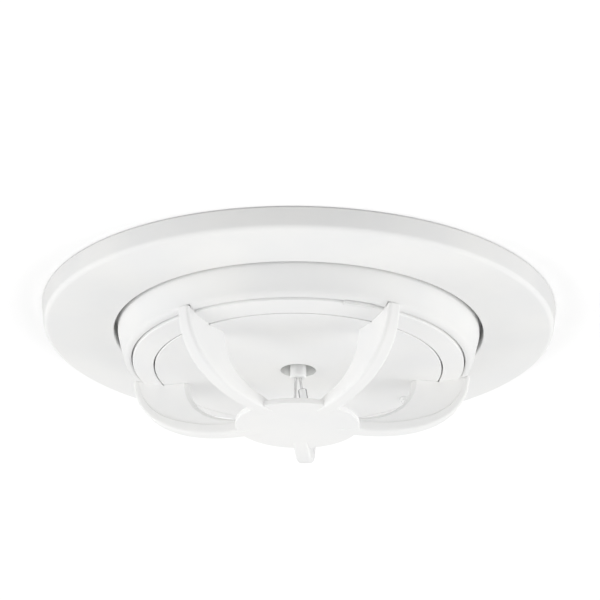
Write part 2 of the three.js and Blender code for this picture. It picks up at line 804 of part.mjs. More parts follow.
function reedBody() {
  const [low, high] = underBoard(2 * reedRadius);
  const end = reedLength / 2;
  const tube = [[0, end], [0, -end], [reedRadius, -end, reedRound], [reedRadius, end, reedRound]];
  return turned(tube, holeSides, 2).rotate([0, 90, 0]).translate([...reedPlace, (low + high) / 2]);
}

function bridgeBody() {
  const [low, high] = underBoard(bridgeThickness);
  return block(bridgeWidth, bridgeLength, low, high, ...bridgePlace);
}

// Materials: colours of the photographed plastic, and usual ones for what it hides
const finish = {
  base: [0xe9eae9, 0.52, 0],
  housing: [0xe2e3e1, 0.58, 0],
  cover: [0xececea, 0.48, 0],
  cage: [0xebebea, 0.5, 0],
  plate: [0xe9eaea, 0.5, 0],
  collar: [0xe4e5e5, 0.55, 0],
  glass: [0xdcdfdf, 0.08, 0],
  lens: [0xe6e8e6, 0.25, 0],
  tin: [0xb9babb, 0.32, 0.9],
  steel: [0xbfc1c0, 0.34, 0.95],
  brass: [0xc9bb86, 0.36, 0.9],
  board: [0x2f6b41, 0.5, 0],
  resin: [0x232427, 0.55, 0],
  can: [0xb5b7ba, 0.35, 0.8],
};

function part(name, body, [color, roughness, metalness]) {
  const material = new THREE.MeshStandardMaterial({ color, roughness, metalness });
  const mesh = new THREE.Mesh(geometryOf(body), material);
  mesh.name = name;
  return mesh;
}

function terminal(index) {
  const group = new THREE.Group();
  const screw = part(`terminal_screw_${index + 1}`, terminalScrew(), finish.steel);
  screw.position.y = -terminalRadius;
  group.add(
    part(`terminal_contact_${index + 1}`, terminalContact(), finish.brass),
    part(`terminal_clamp_${index + 1}`, terminalClamp(), finish.steel),
    screw,
  );
  group.rotation.z = rad(terminalAzimuth + index * 360 / terminalCount);
  return group;
}

function blade(index) {
  const mesh = part(`contact_blade_${index + 1}`, contactBlade(), finish.brass);
  mesh.rotation.z = rad(terminalAzimuth - bladeAngle + index * 360 / terminalCount);
  return mesh;
}

const indices = Array.from({ length: terminalCount }, (_, index) => index);

const base = new THREE.Group();
base.add(part('base_flange', baseBody(), finish.base), ...indices.map(terminal));

const head = new THREE.Group();
head.add(
  part('head_housing', housingBody(), finish.housing),
  ...indices.map(blade),
  part('outer_cover', coverBody(), finish.cover),
  part('protective_cage', cageBody(), finish.cage),
  part('sensor_plate', sensorPlateBody(), finish.plate),
  part('circuit_board', boardBody(), finish.board),
  part('thermistor_collar', collarBody(), finish.collar),
  part('thermistor_bead', beadBody(), finish.glass),
  part('thermistor_lead_short', shortLead(), finish.tin),
  part('thermistor_lead_looped', loopedLead(), finish.tin),
  part('status_led', ledBody(), finish.lens),
  part('control_chip', chipBody(), finish.resin),
  part('storage_capacitor', capacitorBody(), finish.can),
  part('test_reed_switch', reedBody(), finish.glass),
  part('bridge_rectifier', bridgeBody(), finish.resin),
);

const group = new THREE.Group();
group.add(base, head);

export default group;
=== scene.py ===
"""Ceiling heat detector: the looks of its flanged base, its head, the fin cage and the bead sensor."""
import json
import logging
import math
from dataclasses import dataclass, field
from enum import Enum
from typing import Callable, Iterable, Sequence

import bmesh
import bpy
from mathutils import Matrix, Vector


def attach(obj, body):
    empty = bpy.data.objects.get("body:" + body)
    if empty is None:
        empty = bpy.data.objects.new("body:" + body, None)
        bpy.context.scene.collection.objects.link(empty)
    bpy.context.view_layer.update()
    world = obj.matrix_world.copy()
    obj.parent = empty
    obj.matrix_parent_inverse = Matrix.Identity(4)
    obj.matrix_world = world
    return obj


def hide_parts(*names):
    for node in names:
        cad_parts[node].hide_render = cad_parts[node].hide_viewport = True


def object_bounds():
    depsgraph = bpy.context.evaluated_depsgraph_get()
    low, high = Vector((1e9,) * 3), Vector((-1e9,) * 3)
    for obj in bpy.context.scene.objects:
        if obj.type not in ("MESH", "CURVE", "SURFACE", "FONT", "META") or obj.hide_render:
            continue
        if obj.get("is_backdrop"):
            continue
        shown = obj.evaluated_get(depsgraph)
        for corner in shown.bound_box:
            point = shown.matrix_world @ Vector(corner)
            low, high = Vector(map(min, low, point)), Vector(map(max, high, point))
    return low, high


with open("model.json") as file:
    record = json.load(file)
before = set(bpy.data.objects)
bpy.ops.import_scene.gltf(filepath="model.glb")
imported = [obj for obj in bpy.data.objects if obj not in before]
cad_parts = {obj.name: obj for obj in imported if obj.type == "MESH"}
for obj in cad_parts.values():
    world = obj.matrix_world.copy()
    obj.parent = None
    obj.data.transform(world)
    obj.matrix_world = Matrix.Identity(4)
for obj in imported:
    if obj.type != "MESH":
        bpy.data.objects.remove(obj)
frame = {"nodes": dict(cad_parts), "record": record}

LOG = logging.getLogger("heat_detector")
MM = 0.001
CAD_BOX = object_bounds()

OVERLAP = 0.4 * MM       # how far one form runs into the next before they are joined
OVERRUN = 1.0 * MM       # how far a cut reaches past what it cuts
RING_SIDES = 240
ARC_STEP = 1.5           # degrees of each facet of a block that bends round the axis
SMALL_SIDES = 48
FILLET_STEPS = 6
WELD = 1e-7              # points closer than this are one
NORMAL_WEIGHT = 80       # how much a large face leads in the normals of its edges
FAINT = 0.1 * MM         # rounds of moulded edges, from the crispest to the widest
CRISP = 0.15 * MM
EASED = 0.2 * MM
SOFT = 0.4 * MM
WIDE = 0.8 * MM
CREASE = math.radians(28)
FIN_COUNT = 5
FIN_AZIMUTH = 32.0


class Cut(Enum):
    """How two solids are combined."""

    JOIN = "UNION"
    TAKE = "DIFFERENCE"


class Grain(Enum):
    """Surface texture of a moulding, by how coarse its tool was sparked."""

    FINE = 0.35
    MEDIUM = 0.7


@dataclass(frozen=True)
class Corner:
    """One corner of a turned profile.

    Args:
        r: distance from the axis
        z: height
        fillet: radius of the round on it, or 0 for a sharp one
    """

    r: float
    z: float
    fillet: float = 0.0


def azimuth_point(radius: float, azimuth: float, z: float = 0.0) -> Vector:
    """Point at a radius and an azimuth.

    Args:
        radius: distance from the axis
        azimuth: degrees from the front, -Y, towards +X
        z: height

    Returns:
        The point, in the frame's metres.
    """
    angle = math.radians(azimuth)
    return Vector((radius * math.sin(angle), -radius * math.cos(angle), z))


def blend(low: float, high: float, share: float) -> float:
    """Value a share of the way from low to high."""
    return low + (high - low) * share


def bezier(points: Sequence[Vector], share: float) -> Vector:
    """Point on a Bezier curve of any order.

    Args:
        points: its control points
        share: 0 at its start, 1 at its end

    Returns:
        The point there.
    """
    row = list(points)
    while len(row) > 1:
        row = [a.lerp(b, share) for a, b in zip(row, row[1:])]
    return row[0]


def rounded(corners: Sequence[Corner], steps: int = FILLET_STEPS) -> list[tuple[float, float]]:
    """Profile with an arc in place of each corner that has a fillet.

    Args:
        corners: the profile, closed on itself
        steps: facets of each arc

    Returns:
        Its points as (r, z).
    """
    points: list[tuple[float, float]] = []
    for index, corner in enumerate(corners):
        here = Vector((corner.r, corner.z))
        if corner.fillet <= 0:
            points.append((here.x, here.y))
            continue
        before = corners[index - 1]
        after = corners[(index + 1) % len(corners)]
        back = (Vector((before.r, before.z)) - here).normalized()
        ahead = (Vector((after.r, after.z)) - here).normalized()
        half = back.angle(ahead) / 2
        centre = here + (back + ahead).normalized() * (corner.fillet / math.sin(half))
        run = corner.fillet / math.tan(half)
        start = here + back * run - centre
        end = here + ahead * run - centre
        sweep = start.angle_signed(end)
        for step in range(steps + 1):
            turn = Matrix.Rotation(-sweep * step / steps, 2)
            spot = centre + turn @ start
            points.append((spot.x, spot.y))
    return points


class Workshop:
    """Makes and combines closed meshes."""

    @staticmethod
    def mesh_object(name: str, verts: Iterable[Vector], faces: Iterable[Sequence[int]]) -> bpy.types.Object:
        """New object in the scene from points and faces.

        Args:
            name: its name
            verts: its points
            faces: corner indices of each face

        Returns:
            The object.
        """
        mesh = bpy.data.meshes.new(name)
        mesh.from_pydata([tuple(v) for v in verts], [], [tuple(f) for f in faces])
        mesh.update()
        built = bpy.data.objects.new(name, mesh)
        bpy.context.scene.collection.objects.link(built)
        return built

    @staticmethod
    def tidy(built: bpy.types.Object) -> bpy.types.Object:
        """Merges doubled points and turns every face outwards.

        Args:
            built: the object

        Returns:
            The object.
        """
        work = bmesh.new()
        work.from_mesh(built.data)
        bmesh.ops.remove_doubles(work, verts=work.verts, dist=WELD)
        bmesh.ops.dissolve_degenerate(work, edges=work.edges, dist=WELD)
        bmesh.ops.recalc_face_normals(work, faces=work.faces)
        work.to_mesh(built.data)
        work.free()
        return built

    @classmethod
    def turned(cls, name: str, corners: Sequence[Corner], sides: int = RING_SIDES,
               steps: int = FILLET_STEPS) -> bpy.types.Object:
        """Solid of revolution about Z.

        Args:
            name: its name
            corners: its closed profile
            sides: facets round the axis
            steps: facets of each fillet

        Returns:
            The object.
        """
        profile = rounded(corners, steps)
        rows = len(profile)
        verts = [azimuth_point(r, 360 * side / sides, z) for side in range(sides) for r, z in profile]
        faces = []
        for side in range(sides):
            here, there = side * rows, (side + 1) % sides * rows
            for row in range(rows):
                after = (row + 1) % rows
                faces.append((here + row, there + row, there + after, here + after))
        return cls.tidy(cls.mesh_object(name, verts, faces))

    @classmethod
    def prism(cls, name: str, outline: Sequence[Vector], low: float, high: float) -> bpy.types.Object:
        """Flat outline raised from one level to another.

        Args:
            name: its name
            outline: its points, in X and Y
            low: lower level
            high: upper level

        Returns:
            The object.
        """
        count = len(outline)
        verts = [Vector((p.x, p.y, z)) for z in (low, high) for p in outline]
        faces: list[Sequence[int]] = [tuple(range(count)), tuple(range(count, 2 * count))]
        faces += [(i, (i + 1) % count, count + (i + 1) % count, count + i) for i in range(count)]
        return cls.tidy(cls.mesh_object(name, verts, faces))

    @classmethod
    def block(cls, name: str, width: float, inner: float, outer: float, azimuth: float, low: float,
              high: float) -> bpy.types.Object:
        """Box that lies along a radius.

        Args:
            name: its name
            width: across the radius
            inner: its inner end, from the axis
            outer: its outer end
            azimuth: where it lies
            low: lower level
            high: upper level

        Returns:
            The object.
        """
        out = azimuth_point(1, azimuth)
        side = azimuth_point(width / 2, azimuth + 90)
        outline = [out * inner - side, out * inner + side, out * outer + side, out * outer - side]
        return cls.prism(name, outline, low, high)

    @classmethod
    def sector(cls, name: str, inner: float, outer: float, start: float, end: float, low: float,
               high: float) -> bpy.types.Object:
        """Block between two radii and two azimuths.

        Args:
            name: its name
            inner: inner radius
            outer: outer radius
            start: first azimuth
            end: last azimuth
            low: lower level
            high: upper level

        Returns:
            The object.
        """
        steps = max(3, math.ceil((end - start) / ARC_STEP))
        turns = [blend(start, end, step / steps) for step in range(steps + 1)]
        outline = [azimuth_point(outer, turn) for turn in turns]
        outline += [azimuth_point(inner, turn) for turn in reversed(turns)]
        return cls.prism(name, outline, low, high)

    @classmethod
    def disc(cls, name: str, radius: float, centre: Vector, low: float, high: float,
             sides: int = SMALL_SIDES) -> bpy.types.Object:
        """Round post or hole tool with an upright axis.

        Args:
            name: its name
            radius: of it
            centre: its axis in X and Y
            low: lower level
            high: upper level
            sides: facets round it

        Returns:
            The object.
        """
        outline = [centre + azimuth_point(radius, 360 * side / sides) for side in range(sides)]
        return cls.prism(name, outline, low, high)

    @classmethod
    def loft(cls, name: str, rings: Sequence[Sequence[Vector]]) -> bpy.types.Object:
        """Solid through closed sections of as many points each.

        Args:
            name: its name
            rings: its sections in order

        Returns:
            The object.
        """
        count = len(rings[0])
        verts = [point for ring in rings for point in ring]
        faces: list[Sequence[int]] = []
        for ring in range(len(rings) - 1):
            here, there = ring * count, (ring + 1) * count
            for index in range(count):
                after = (index + 1) % count
                faces.append((here + index, there + index, there + after, here + after))
        last = (len(rings) - 1) * count
        faces.append(tuple(range(count)))
        faces.append(tuple(last + index for index in range(count)))
        return cls.tidy(cls.mesh_object(name, verts, faces))

    @classmethod
    def tube(cls, name: str, route: Sequence[Vector], radius: float, sides: int = 20) -> bpy.types.Object:
        """Round wire along a route.

        Args:
            name: its name
            route: points of its centre line
            radius: of the wire
            sides: facets round it

        Returns:
            The object.
        """
        rings = []
        normal = Vector((0, 1, 0))
        for index, point in enumerate(route):
            ahead = route[min(index + 1, len(route) - 1)] - route[max(index - 1, 0)]
            across = ahead.cross(normal).normalized()
            ring = []
            for side in range(sides):
                angle = 2 * math.pi * side / sides
                ring.append(point + (across * math.cos(angle) + normal * math.sin(angle)) * radius)
            rings.append(ring)
        return cls.loft(name, rings)

    @staticmethod
    def combine(body: bpy.types.Object, tools: Iterable[bpy.types.Object], how: Cut) -> bpy.types.Object:
        """Joins tools to a body, or takes them out of it, and deletes them.

        Args:
            body: the solid that stays
            tools: the solids that go
            how: join or take

        Returns:
            The body.
        """
        for tool in tools:
            modifier = body.modifiers.new(how.value, "BOOLEAN")
            modifier.operation = how.value
            modifier.solver = "EXACT"
            modifier.object = tool
            Workshop.apply(body)
            bpy.data.objects.remove(tool)
        return body

    @staticmethod
    def apply(body: bpy.types.Object) -> bpy.types.Object:
        """Writes a body's modifiers into its mesh.

        Args:
            body: the solid

        Returns:
            The body.
        """
        graph = bpy.context.evaluated_depsgraph_get()
        graph.update()
        mesh = bpy.data.meshes.new_from_object(body.evaluated_get(graph), depsgraph=graph)
        old = body.data
        body.modifiers.clear()
        body.data = mesh
        bpy.data.meshes.remove(old)
        return body

    @classmethod
    def shaded(cls, body: bpy.types.Object, crease: float = CREASE) -> bpy.types.Object:
        """Smooth shading that breaks at its creases.

        Args:
            body: the solid
            crease: least angle of an edge that stays sharp

        Returns:
            The body.
        """
        body.data.shade_smooth()
        body.data.set_sharp_from_angle(angle=crease)
        modifier = body.modifiers.new("even", "WEIGHTED_NORMAL")
        modifier.keep_sharp = True
        modifier.weight = NORMAL_WEIGHT
        return cls.apply(body)


class Graph:
    """Node tree that is built a step at a time."""

    MIX_UNDER, MIX_OVER, MIX_RESULT = 6, 7, 2    # the Mix node's colour sockets

    def __init__(self, tree: bpy.types.NodeTree) -> None:
        """Starts from the nodes that the tree has."""
        self.nodes = tree.nodes
        self.links = tree.links

    def feed(self, socket: bpy.types.NodeSocket, value: object) -> None:
        """Feeds an input of a node.

        Args:
            socket: the input
            value: another node's socket, or a plain value
        """
        if isinstance(value, bpy.types.NodeSocket):
            self.links.new(value, socket)
        else:
            socket.default_value = value

    def add(self, kind: str, inputs: dict[str | int, object] | None = None,
            **settings: object) -> bpy.types.Node:
        """New node.

        Args:
            kind: its type, without the leading ShaderNode
            inputs: a socket or a plain value for each input that changes
            settings: its other properties

        Returns:
            The node.
        """
        node = self.nodes.new("ShaderNode" + kind)
        for name, value in settings.items():
            setattr(node, name, value)
        for key, value in (inputs or {}).items():
            self.feed(node.inputs[key], value)
        return node

    def math(self, operation: str, *values: bpy.types.NodeSocket | float) -> bpy.types.NodeSocket:
        """Arithmetic on sockets and plain values.

        Args:
            operation: its name
            values: what it works on

        Returns:
            Its value socket.
        """
        return self.add("Math", dict(enumerate(values)), operation=operation).outputs["Value"]

    def map_range(self, value: bpy.types.NodeSocket, low: float, high: float, to_low: float,
                  to_high: float) -> bpy.types.NodeSocket:
        """Value moved from one range to another, and held inside it.

        Args:
            value: the socket
            low: its low end
            high: its high end
            to_low: what the low end becomes
            to_high: what the high end becomes

        Returns:
            The new value socket.
        """
        ends = {"Value": value, "From Min": low, "From Max": high, "To Min": to_low, "To Max": to_high}
        return self.add("MapRange", ends).outputs["Result"]

    def mix(self, share: bpy.types.NodeSocket, under: bpy.types.NodeSocket | Sequence[float],
            over: bpy.types.NodeSocket | Sequence[float]) -> bpy.types.NodeSocket:
        """Colour between two.

        Args:
            share: 0 gives the first, 1 the second
            under: first colour, linear, or its socket
            over: second colour, linear, or its socket

        Returns:
            The colour socket.
        """
        node = self.add("Mix", data_type="RGBA")
        self.feed(node.inputs[0], share)
        for index, colour in ((self.MIX_UNDER, under), (self.MIX_OVER, over)):
            self.feed(node.inputs[index], colour if isinstance(colour, bpy.types.NodeSocket) else (*colour, 1))
        return node.outputs[self.MIX_RESULT]


class Shader(Graph):
    """Node tree of one material."""

    EDGE = (0.52, 0.62)      # pointiness where an edge starts to be rubbed, and where it is bare
    SPECK_CORE = 0.6         # share of a speck's radius that is solid

    def __init__(self, name: str) -> None:
        """Starts a material with a Principled shader on bare sockets.

        Args:
            name: its name
        """
        self.material = bpy.data.materials.new(name)
        self.material.use_nodes = True
        super().__init__(self.material.node_tree)
        self.surface = self.nodes["Principled BSDF"]
        self.place = self.add("TexCoord").outputs["Object"]

    def set(self, **values: object) -> None:
        """Feeds the shader's inputs; _ stands for a space."""
        for key, value in values.items():
            self.feed(self.surface.inputs[key.replace("_", " ")], value)

    def noise(self, scale: float, detail: float = 2.0, roughness: float = 0.5,
              stretch: tuple[float, float, float] = (1, 1, 1)) -> bpy.types.NodeSocket:
        """Noise over the piece.

        Args:
            scale: waves for each metre
            detail: octaves
            roughness: weight of the finer octaves
            stretch: scale along each axis

        Returns:
            Its value socket.
        """
        place = self.place
        if stretch != (1, 1, 1):
            place = self.add("Mapping", {"Vector": place, "Scale": stretch}).outputs["Vector"]
        waves = {"Vector": place, "Scale": scale, "Detail": detail, "Roughness": roughness}
        return self.add("TexNoise", waves).outputs["Fac"]

    def clouds(self, scale: float, detail: float, low: float, high: float, to_low: float = 0,
               to_high: float = 1) -> bpy.types.NodeSocket:
        """Noise whose middle range is stretched to the whole of another one.

        Args:
            scale: waves for each metre
            detail: octaves
            low: low end of the middle range
            high: its high end
            to_low: what the low end becomes
            to_high: what the high end becomes

        Returns:
            The value socket.
        """
        return self.map_range(self.noise(scale, detail), low, high, to_low, to_high)

    def specks(self, scale: float, size: float, share: float) -> bpy.types.NodeSocket:
        """Sparse small dots.

        Args:
            scale: cells for each metre
            size: radius of a dot, as a share of its cell
            share: how many of the cells have one

        Returns:
            A socket that is 1 in a dot and 0 elsewhere.
        """
        cells = self.add("TexVoronoi", {"Vector": self.place, "Scale": scale})
        near = self.map_range(cells.outputs["Distance"], size * self.SPECK_CORE, size, 1, 0)
        split = self.add("SeparateColor", {"Color": cells.outputs["Color"]})
        return self.math("MULTIPLY", near, self.math("LESS_THAN", split.outputs["Red"], share))

    def edges(self, share: float) -> bpy.types.NodeSocket:
        """Worn outer edges: the share where the surface bends outwards sharply, 0 elsewhere."""
        worn = self.map_range(self.add("NewGeometry").outputs["Pointiness"], *self.EDGE, 0, 1)
        return self.math("MULTIPLY", worn, share)

    def sides(self, low: float, high: float) -> bpy.types.NodeSocket:
        """Where the surface turns away: 0 facing the viewer, 1 past the high end."""
        return self.map_range(self.add("LayerWeight").outputs["Facing"], low, high, 0, 1)

    def bump(self, height: bpy.types.NodeSocket, distance: float, strength: float,
             under: bpy.types.NodeSocket | None = None) -> bpy.types.NodeSocket:
        """Relief on the surface.

        Args:
            height: the relief
            distance: its depth in metres
            strength: how much of it shows
            under: the relief that it lies on

        Returns:
            The normal socket, which also feeds the shader.
        """
        inputs = {"Height": height, "Distance": distance, "Strength": strength}
        if under is not None:
            inputs["Normal"] = under
        normal = self.add("Bump", inputs).outputs["Normal"]
        self.set(Normal=normal)
        return normal


def toned(colour: Sequence[float], factor: float) -> tuple[float, ...]:
    """Colour times a factor, held at white."""
    return tuple(min(1, part * factor) for part in colour)


@dataclass(frozen=True)
class MouldedPlastic:
    """White moulded plastic with a fine sparked grain.

    Args:
        slot: its slot in the record
        colour: linear colour of the clean plastic
        roughness: of its surface
        grain: how coarse the grain is
        dust: share of the speck cells that hold one
    """

    slot: str
    colour: tuple[float, float, float]
    roughness: float
    grain: Grain = Grain.FINE
    dust: float = 0.02

    SUNNED = (1.0, 0.996, 0.985)     # tint of the patches that have yellowed a little
    RUBBED = (0.93, 0.93, 0.925)
    DUST = (0.24, 0.22, 0.2)
    FINEST = 2600                    # waves of the grain for each metre, before its coarseness

    def material(self) -> bpy.types.Material:
        """Builds the material: cloudy tone, grain, rubbed edges and a few specks of dust.

        Returns:
            The material.
        """
        shader = Shader(self.slot)
        warm = tuple(part * factor for part, factor in zip(self.colour, self.SUNNED))
        tone = shader.mix(shader.clouds(45, 3, 0.35, 0.65), toned(self.colour, 0.965), warm)
        tone = shader.mix(shader.edges(0.05), tone, self.RUBBED)
        dots = shader.specks(scale=130, size=0.035, share=self.dust)
        tone = shader.mix(shader.math("MULTIPLY", dots, 0.55), tone, self.DUST)
        rough = shader.clouds(90, 2, 0.3, 0.7, self.roughness - 0.05, self.roughness + 0.06)
        shader.set(Base_Color=tone, Roughness=rough, IOR=1.5, Specular_IOR_Level=0.42)
        grain = shader.noise(self.FINEST / self.grain.value, roughness=0.6)
        soft = shader.bump(shader.noise(120), distance=0.02 * MM, strength=0.6)
        shader.bump(grain, 0.012 * MM, 0.5 * self.grain.value, soft)
        return shader.material


@dataclass(frozen=True)
class ClearGlass:
    """Glass with a slight tint and painted shade at its sides.

    Args:
        slot: its slot in the record
        colour: linear colour
        roughness: of its surface
        clear: how much of the light passes through it
    """

    slot: str
    colour: tuple[float, float, float]
    roughness: float
    clear: float = 1.0

    # colour of the painted shade at the glass's sides
    SIDES = (0.16, 0.16, 0.17)

    def material(self) -> bpy.types.Material:
        """Builds the material: tint that varies a little, painted shade at its sides, fire-polished waves,
        faint smears.

        Returns:
            The material.
        """
        shader = Shader(self.slot)
        body = shader.mix(shader.noise(500), self.colour, toned(self.colour, 1.04))
        # painted shade: the glass turns to this darker colour where its surface turns away from the viewer
        tone = shader.mix(shader.sides(0.28, 0.6), body, self.SIDES)
        smears = shader.clouds(700, 3, 0.4, 0.75, self.roughness, self.roughness + 0.08)
        shader.set(Base_Color=tone, Roughness=smears, IOR=1.5, Transmission_Weight=self.clear)
        shader.bump(shader.noise(900, detail=1), distance=0.03 * MM, strength=0.35)
        return shader.material


@dataclass(frozen=True)
class FrostedLens:
    """Frosted clear plastic of the status light.

    Args:
        slot: its slot in the record
        colour: linear colour
    """

    slot: str
    colour: tuple[float, float, float]

    def material(self) -> bpy.types.Material:
        """Builds the material: milky body under a smooth coat.

        Returns:
            The material.
        """
        shader = Shader(self.slot)
        tone = shader.mix(shader.noise(900), toned(self.colour, 0.94), self.colour)
        shader.set(Base_Color=tone, Roughness=shader.clouds(1200, 2, 0.3, 0.7, 0.16, 0.26), IOR=1.5,
                   Coat_Weight=0.3, Coat_Roughness=0.08)
        shader.bump(shader.noise(2500), distance=0.01 * MM, strength=0.4)
        return shader.material


@dataclass(frozen=True)
class BareMetal:
    """Metal sheet, wire or plating.

    Args:
        slot: its slot in the record
        colour: linear colour
        roughness: of its surface
        brushed: scale of its marks along X, Y and Z
        metallic: less than 1 where a dull coating covers it; the lower it is, the more painted shade darkens
            its sides
    """

    slot: str
    colour: tuple[float, float, float]
    roughness: float
    brushed: tuple[float, float, float] = (1, 1, 8)
    metallic: float = 1.0

    def material(self) -> bpy.types.Material:
        """Builds the material: drawn marks, dull patches, brighter edges and painted shade at the sides, which
        grows where a dull coating covers it.

        Returns:
            The material.
        """
        shader = Shader(self.slot)
        tone = shader.mix(shader.clouds(260, 3, 0.3, 0.7), toned(self.colour, 0.72), self.colour)
        tone = shader.mix(shader.edges(0.6), tone, toned(self.colour, 1.25))
        # painted shade: darker where the surface turns away from the viewer, the more so the less metallic it
        # is
        painted_side_shade = shader.math("MULTIPLY", shader.sides(0.25, 0.6), 1 - self.metallic)
        tone = shader.mix(painted_side_shade, tone, toned(self.colour, 0.35))
        marks = shader.noise(900, 3, 0.6, self.brushed)
        rough = shader.map_range(marks, 0.3, 0.7, self.roughness - 0.08, self.roughness + 0.12)
        shader.set(Base_Color=tone, Roughness=rough, Metallic=self.metallic)
        shader.bump(marks, distance=0.015 * MM, strength=0.4)
        return shader.material


@dataclass(frozen=True)
class SolderResist:
    """Solder resist over a glass laminate.

    Args:
        slot: its slot in the record
        colour: linear colour
    """

    slot: str
    colour: tuple[float, float, float]

    def material(self) -> bpy.types.Material:
        """Builds the material: woven laminate under a glossy resist.

        Returns:
            The material.
        """
        shader = Shader(self.slot)
        weave = shader.add("TexWave", {"Vector": shader.place, "Scale": 700, "Distortion": 1.5}).outputs["Fac"]
        tone = shader.mix(weave, toned(self.colour, 0.7), self.colour)
        shader.set(Base_Color=tone, Roughness=shader.clouds(300, 2, 0.3, 0.7, 0.3, 0.45), Coat_Weight=0.25,
                   Coat_Roughness=0.2)
        shader.bump(weave, distance=0.02 * MM, strength=0.3)
        return shader.material


@dataclass(frozen=True)
class MouldedResin:
    """Dark moulded package of a component.

    Args:
        slot: its slot in the record
        colour: linear colour
    """

    slot: str
    colour: tuple[float, float, float]

    def material(self) -> bpy.types.Material:
        """Builds the material: matt black with a fine grain and grey dust.

        Returns:
            The material.
        """
        shader = Shader(self.slot)
        tone = shader.mix(shader.clouds(400, 3, 0.4, 0.8), self.colour, toned(self.colour, 2.2))
        shader.set(Base_Color=tone, Roughness=shader.clouds(800, 2, 0.3, 0.7, 0.5, 0.66))
        shader.bump(shader.noise(6000), distance=0.01 * MM, strength=0.5)
        return shader.material


class Palette:
    """Every finish, by its slot, and what it is on."""

    def __init__(self) -> None:
        """Builds one material for each slot of the record."""
        finishes = [
            MouldedPlastic("base_plastic", (0.9, 0.903, 0.9), 0.46),
            MouldedPlastic("housing_plastic", (0.82, 0.823, 0.82), 0.5, Grain.MEDIUM, dust=0.0),
            MouldedPlastic("cover_plastic", (0.845, 0.848, 0.846), 0.42),
            MouldedPlastic("cage_plastic", (0.9, 0.902, 0.9), 0.44),
            MouldedPlastic("plate_plastic", (0.93, 0.932, 0.931), 0.45, dust=0.03),
            MouldedPlastic("collar_plastic", (0.92, 0.922, 0.922), 0.4, dust=0.0),
            ClearGlass("sensor_glass", (0.95, 0.955, 0.955), 0.05, clear=0.08),
            ClearGlass("reed_glass", (0.8, 0.88, 0.82), 0.03),
            FrostedLens("led_lens", (0.93, 0.935, 0.93)),
            BareMetal("tinned_copper", (0.88, 0.88, 0.88), 0.4, metallic=0.1),
            BareMetal("zinc_steel", (0.66, 0.67, 0.66), 0.36, (6, 6, 1)),
            BareMetal("contact_brass", (0.78, 0.66, 0.36), 0.3, (8, 1, 1)),
            SolderResist("board_laminate", (0.05, 0.2, 0.09)),
            MouldedResin("dark_resin", (0.03, 0.03, 0.034)),
            BareMetal("capacitor_can", (0.72, 0.73, 0.75), 0.28),
        ]
        self.by_slot = {finish.slot: finish.material() for finish in finishes}

    def dress(self, piece: bpy.types.Object, slot: str) -> None:
        """Gives a piece a finish.

        Args:
            piece: the piece
            slot: one of the record's slots
        """
        piece.data.materials.clear()
        piece.data.materials.append(self.by_slot[slot])

    def dress_node(self, node: str, slot: str) -> None:
        """Gives a node of the frame a finish, without touching its mesh.

        Args:
            node: the node
            slot: one of the record's slots
        """
        piece = frame["nodes"][node]
        if not piece.material_slots:
            piece.data.materials.append(None)
        for holder in piece.material_slots:
            holder.material = self.by_slot[slot]


@dataclass
class SubAssembly:
    """Pieces that share a palette and stand in for nodes of the frame.

    Args:
        palette: the finishes
    """

    palette: Palette

    def install(self, body: bpy.types.Object, node: str, slot: str, rides: str = "head") -> bpy.types.Object:
        """Shades a piece, dresses it and stands it in for its node.

        Args:
            body: the piece
            node: the node that it stands for
            slot: its finish
            rides: the moving body that carries it

        Returns:
            The piece.
        """
        Workshop.shaded(body)
        self.palette.dress(body, slot)
        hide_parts(node)
        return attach(body, rides)


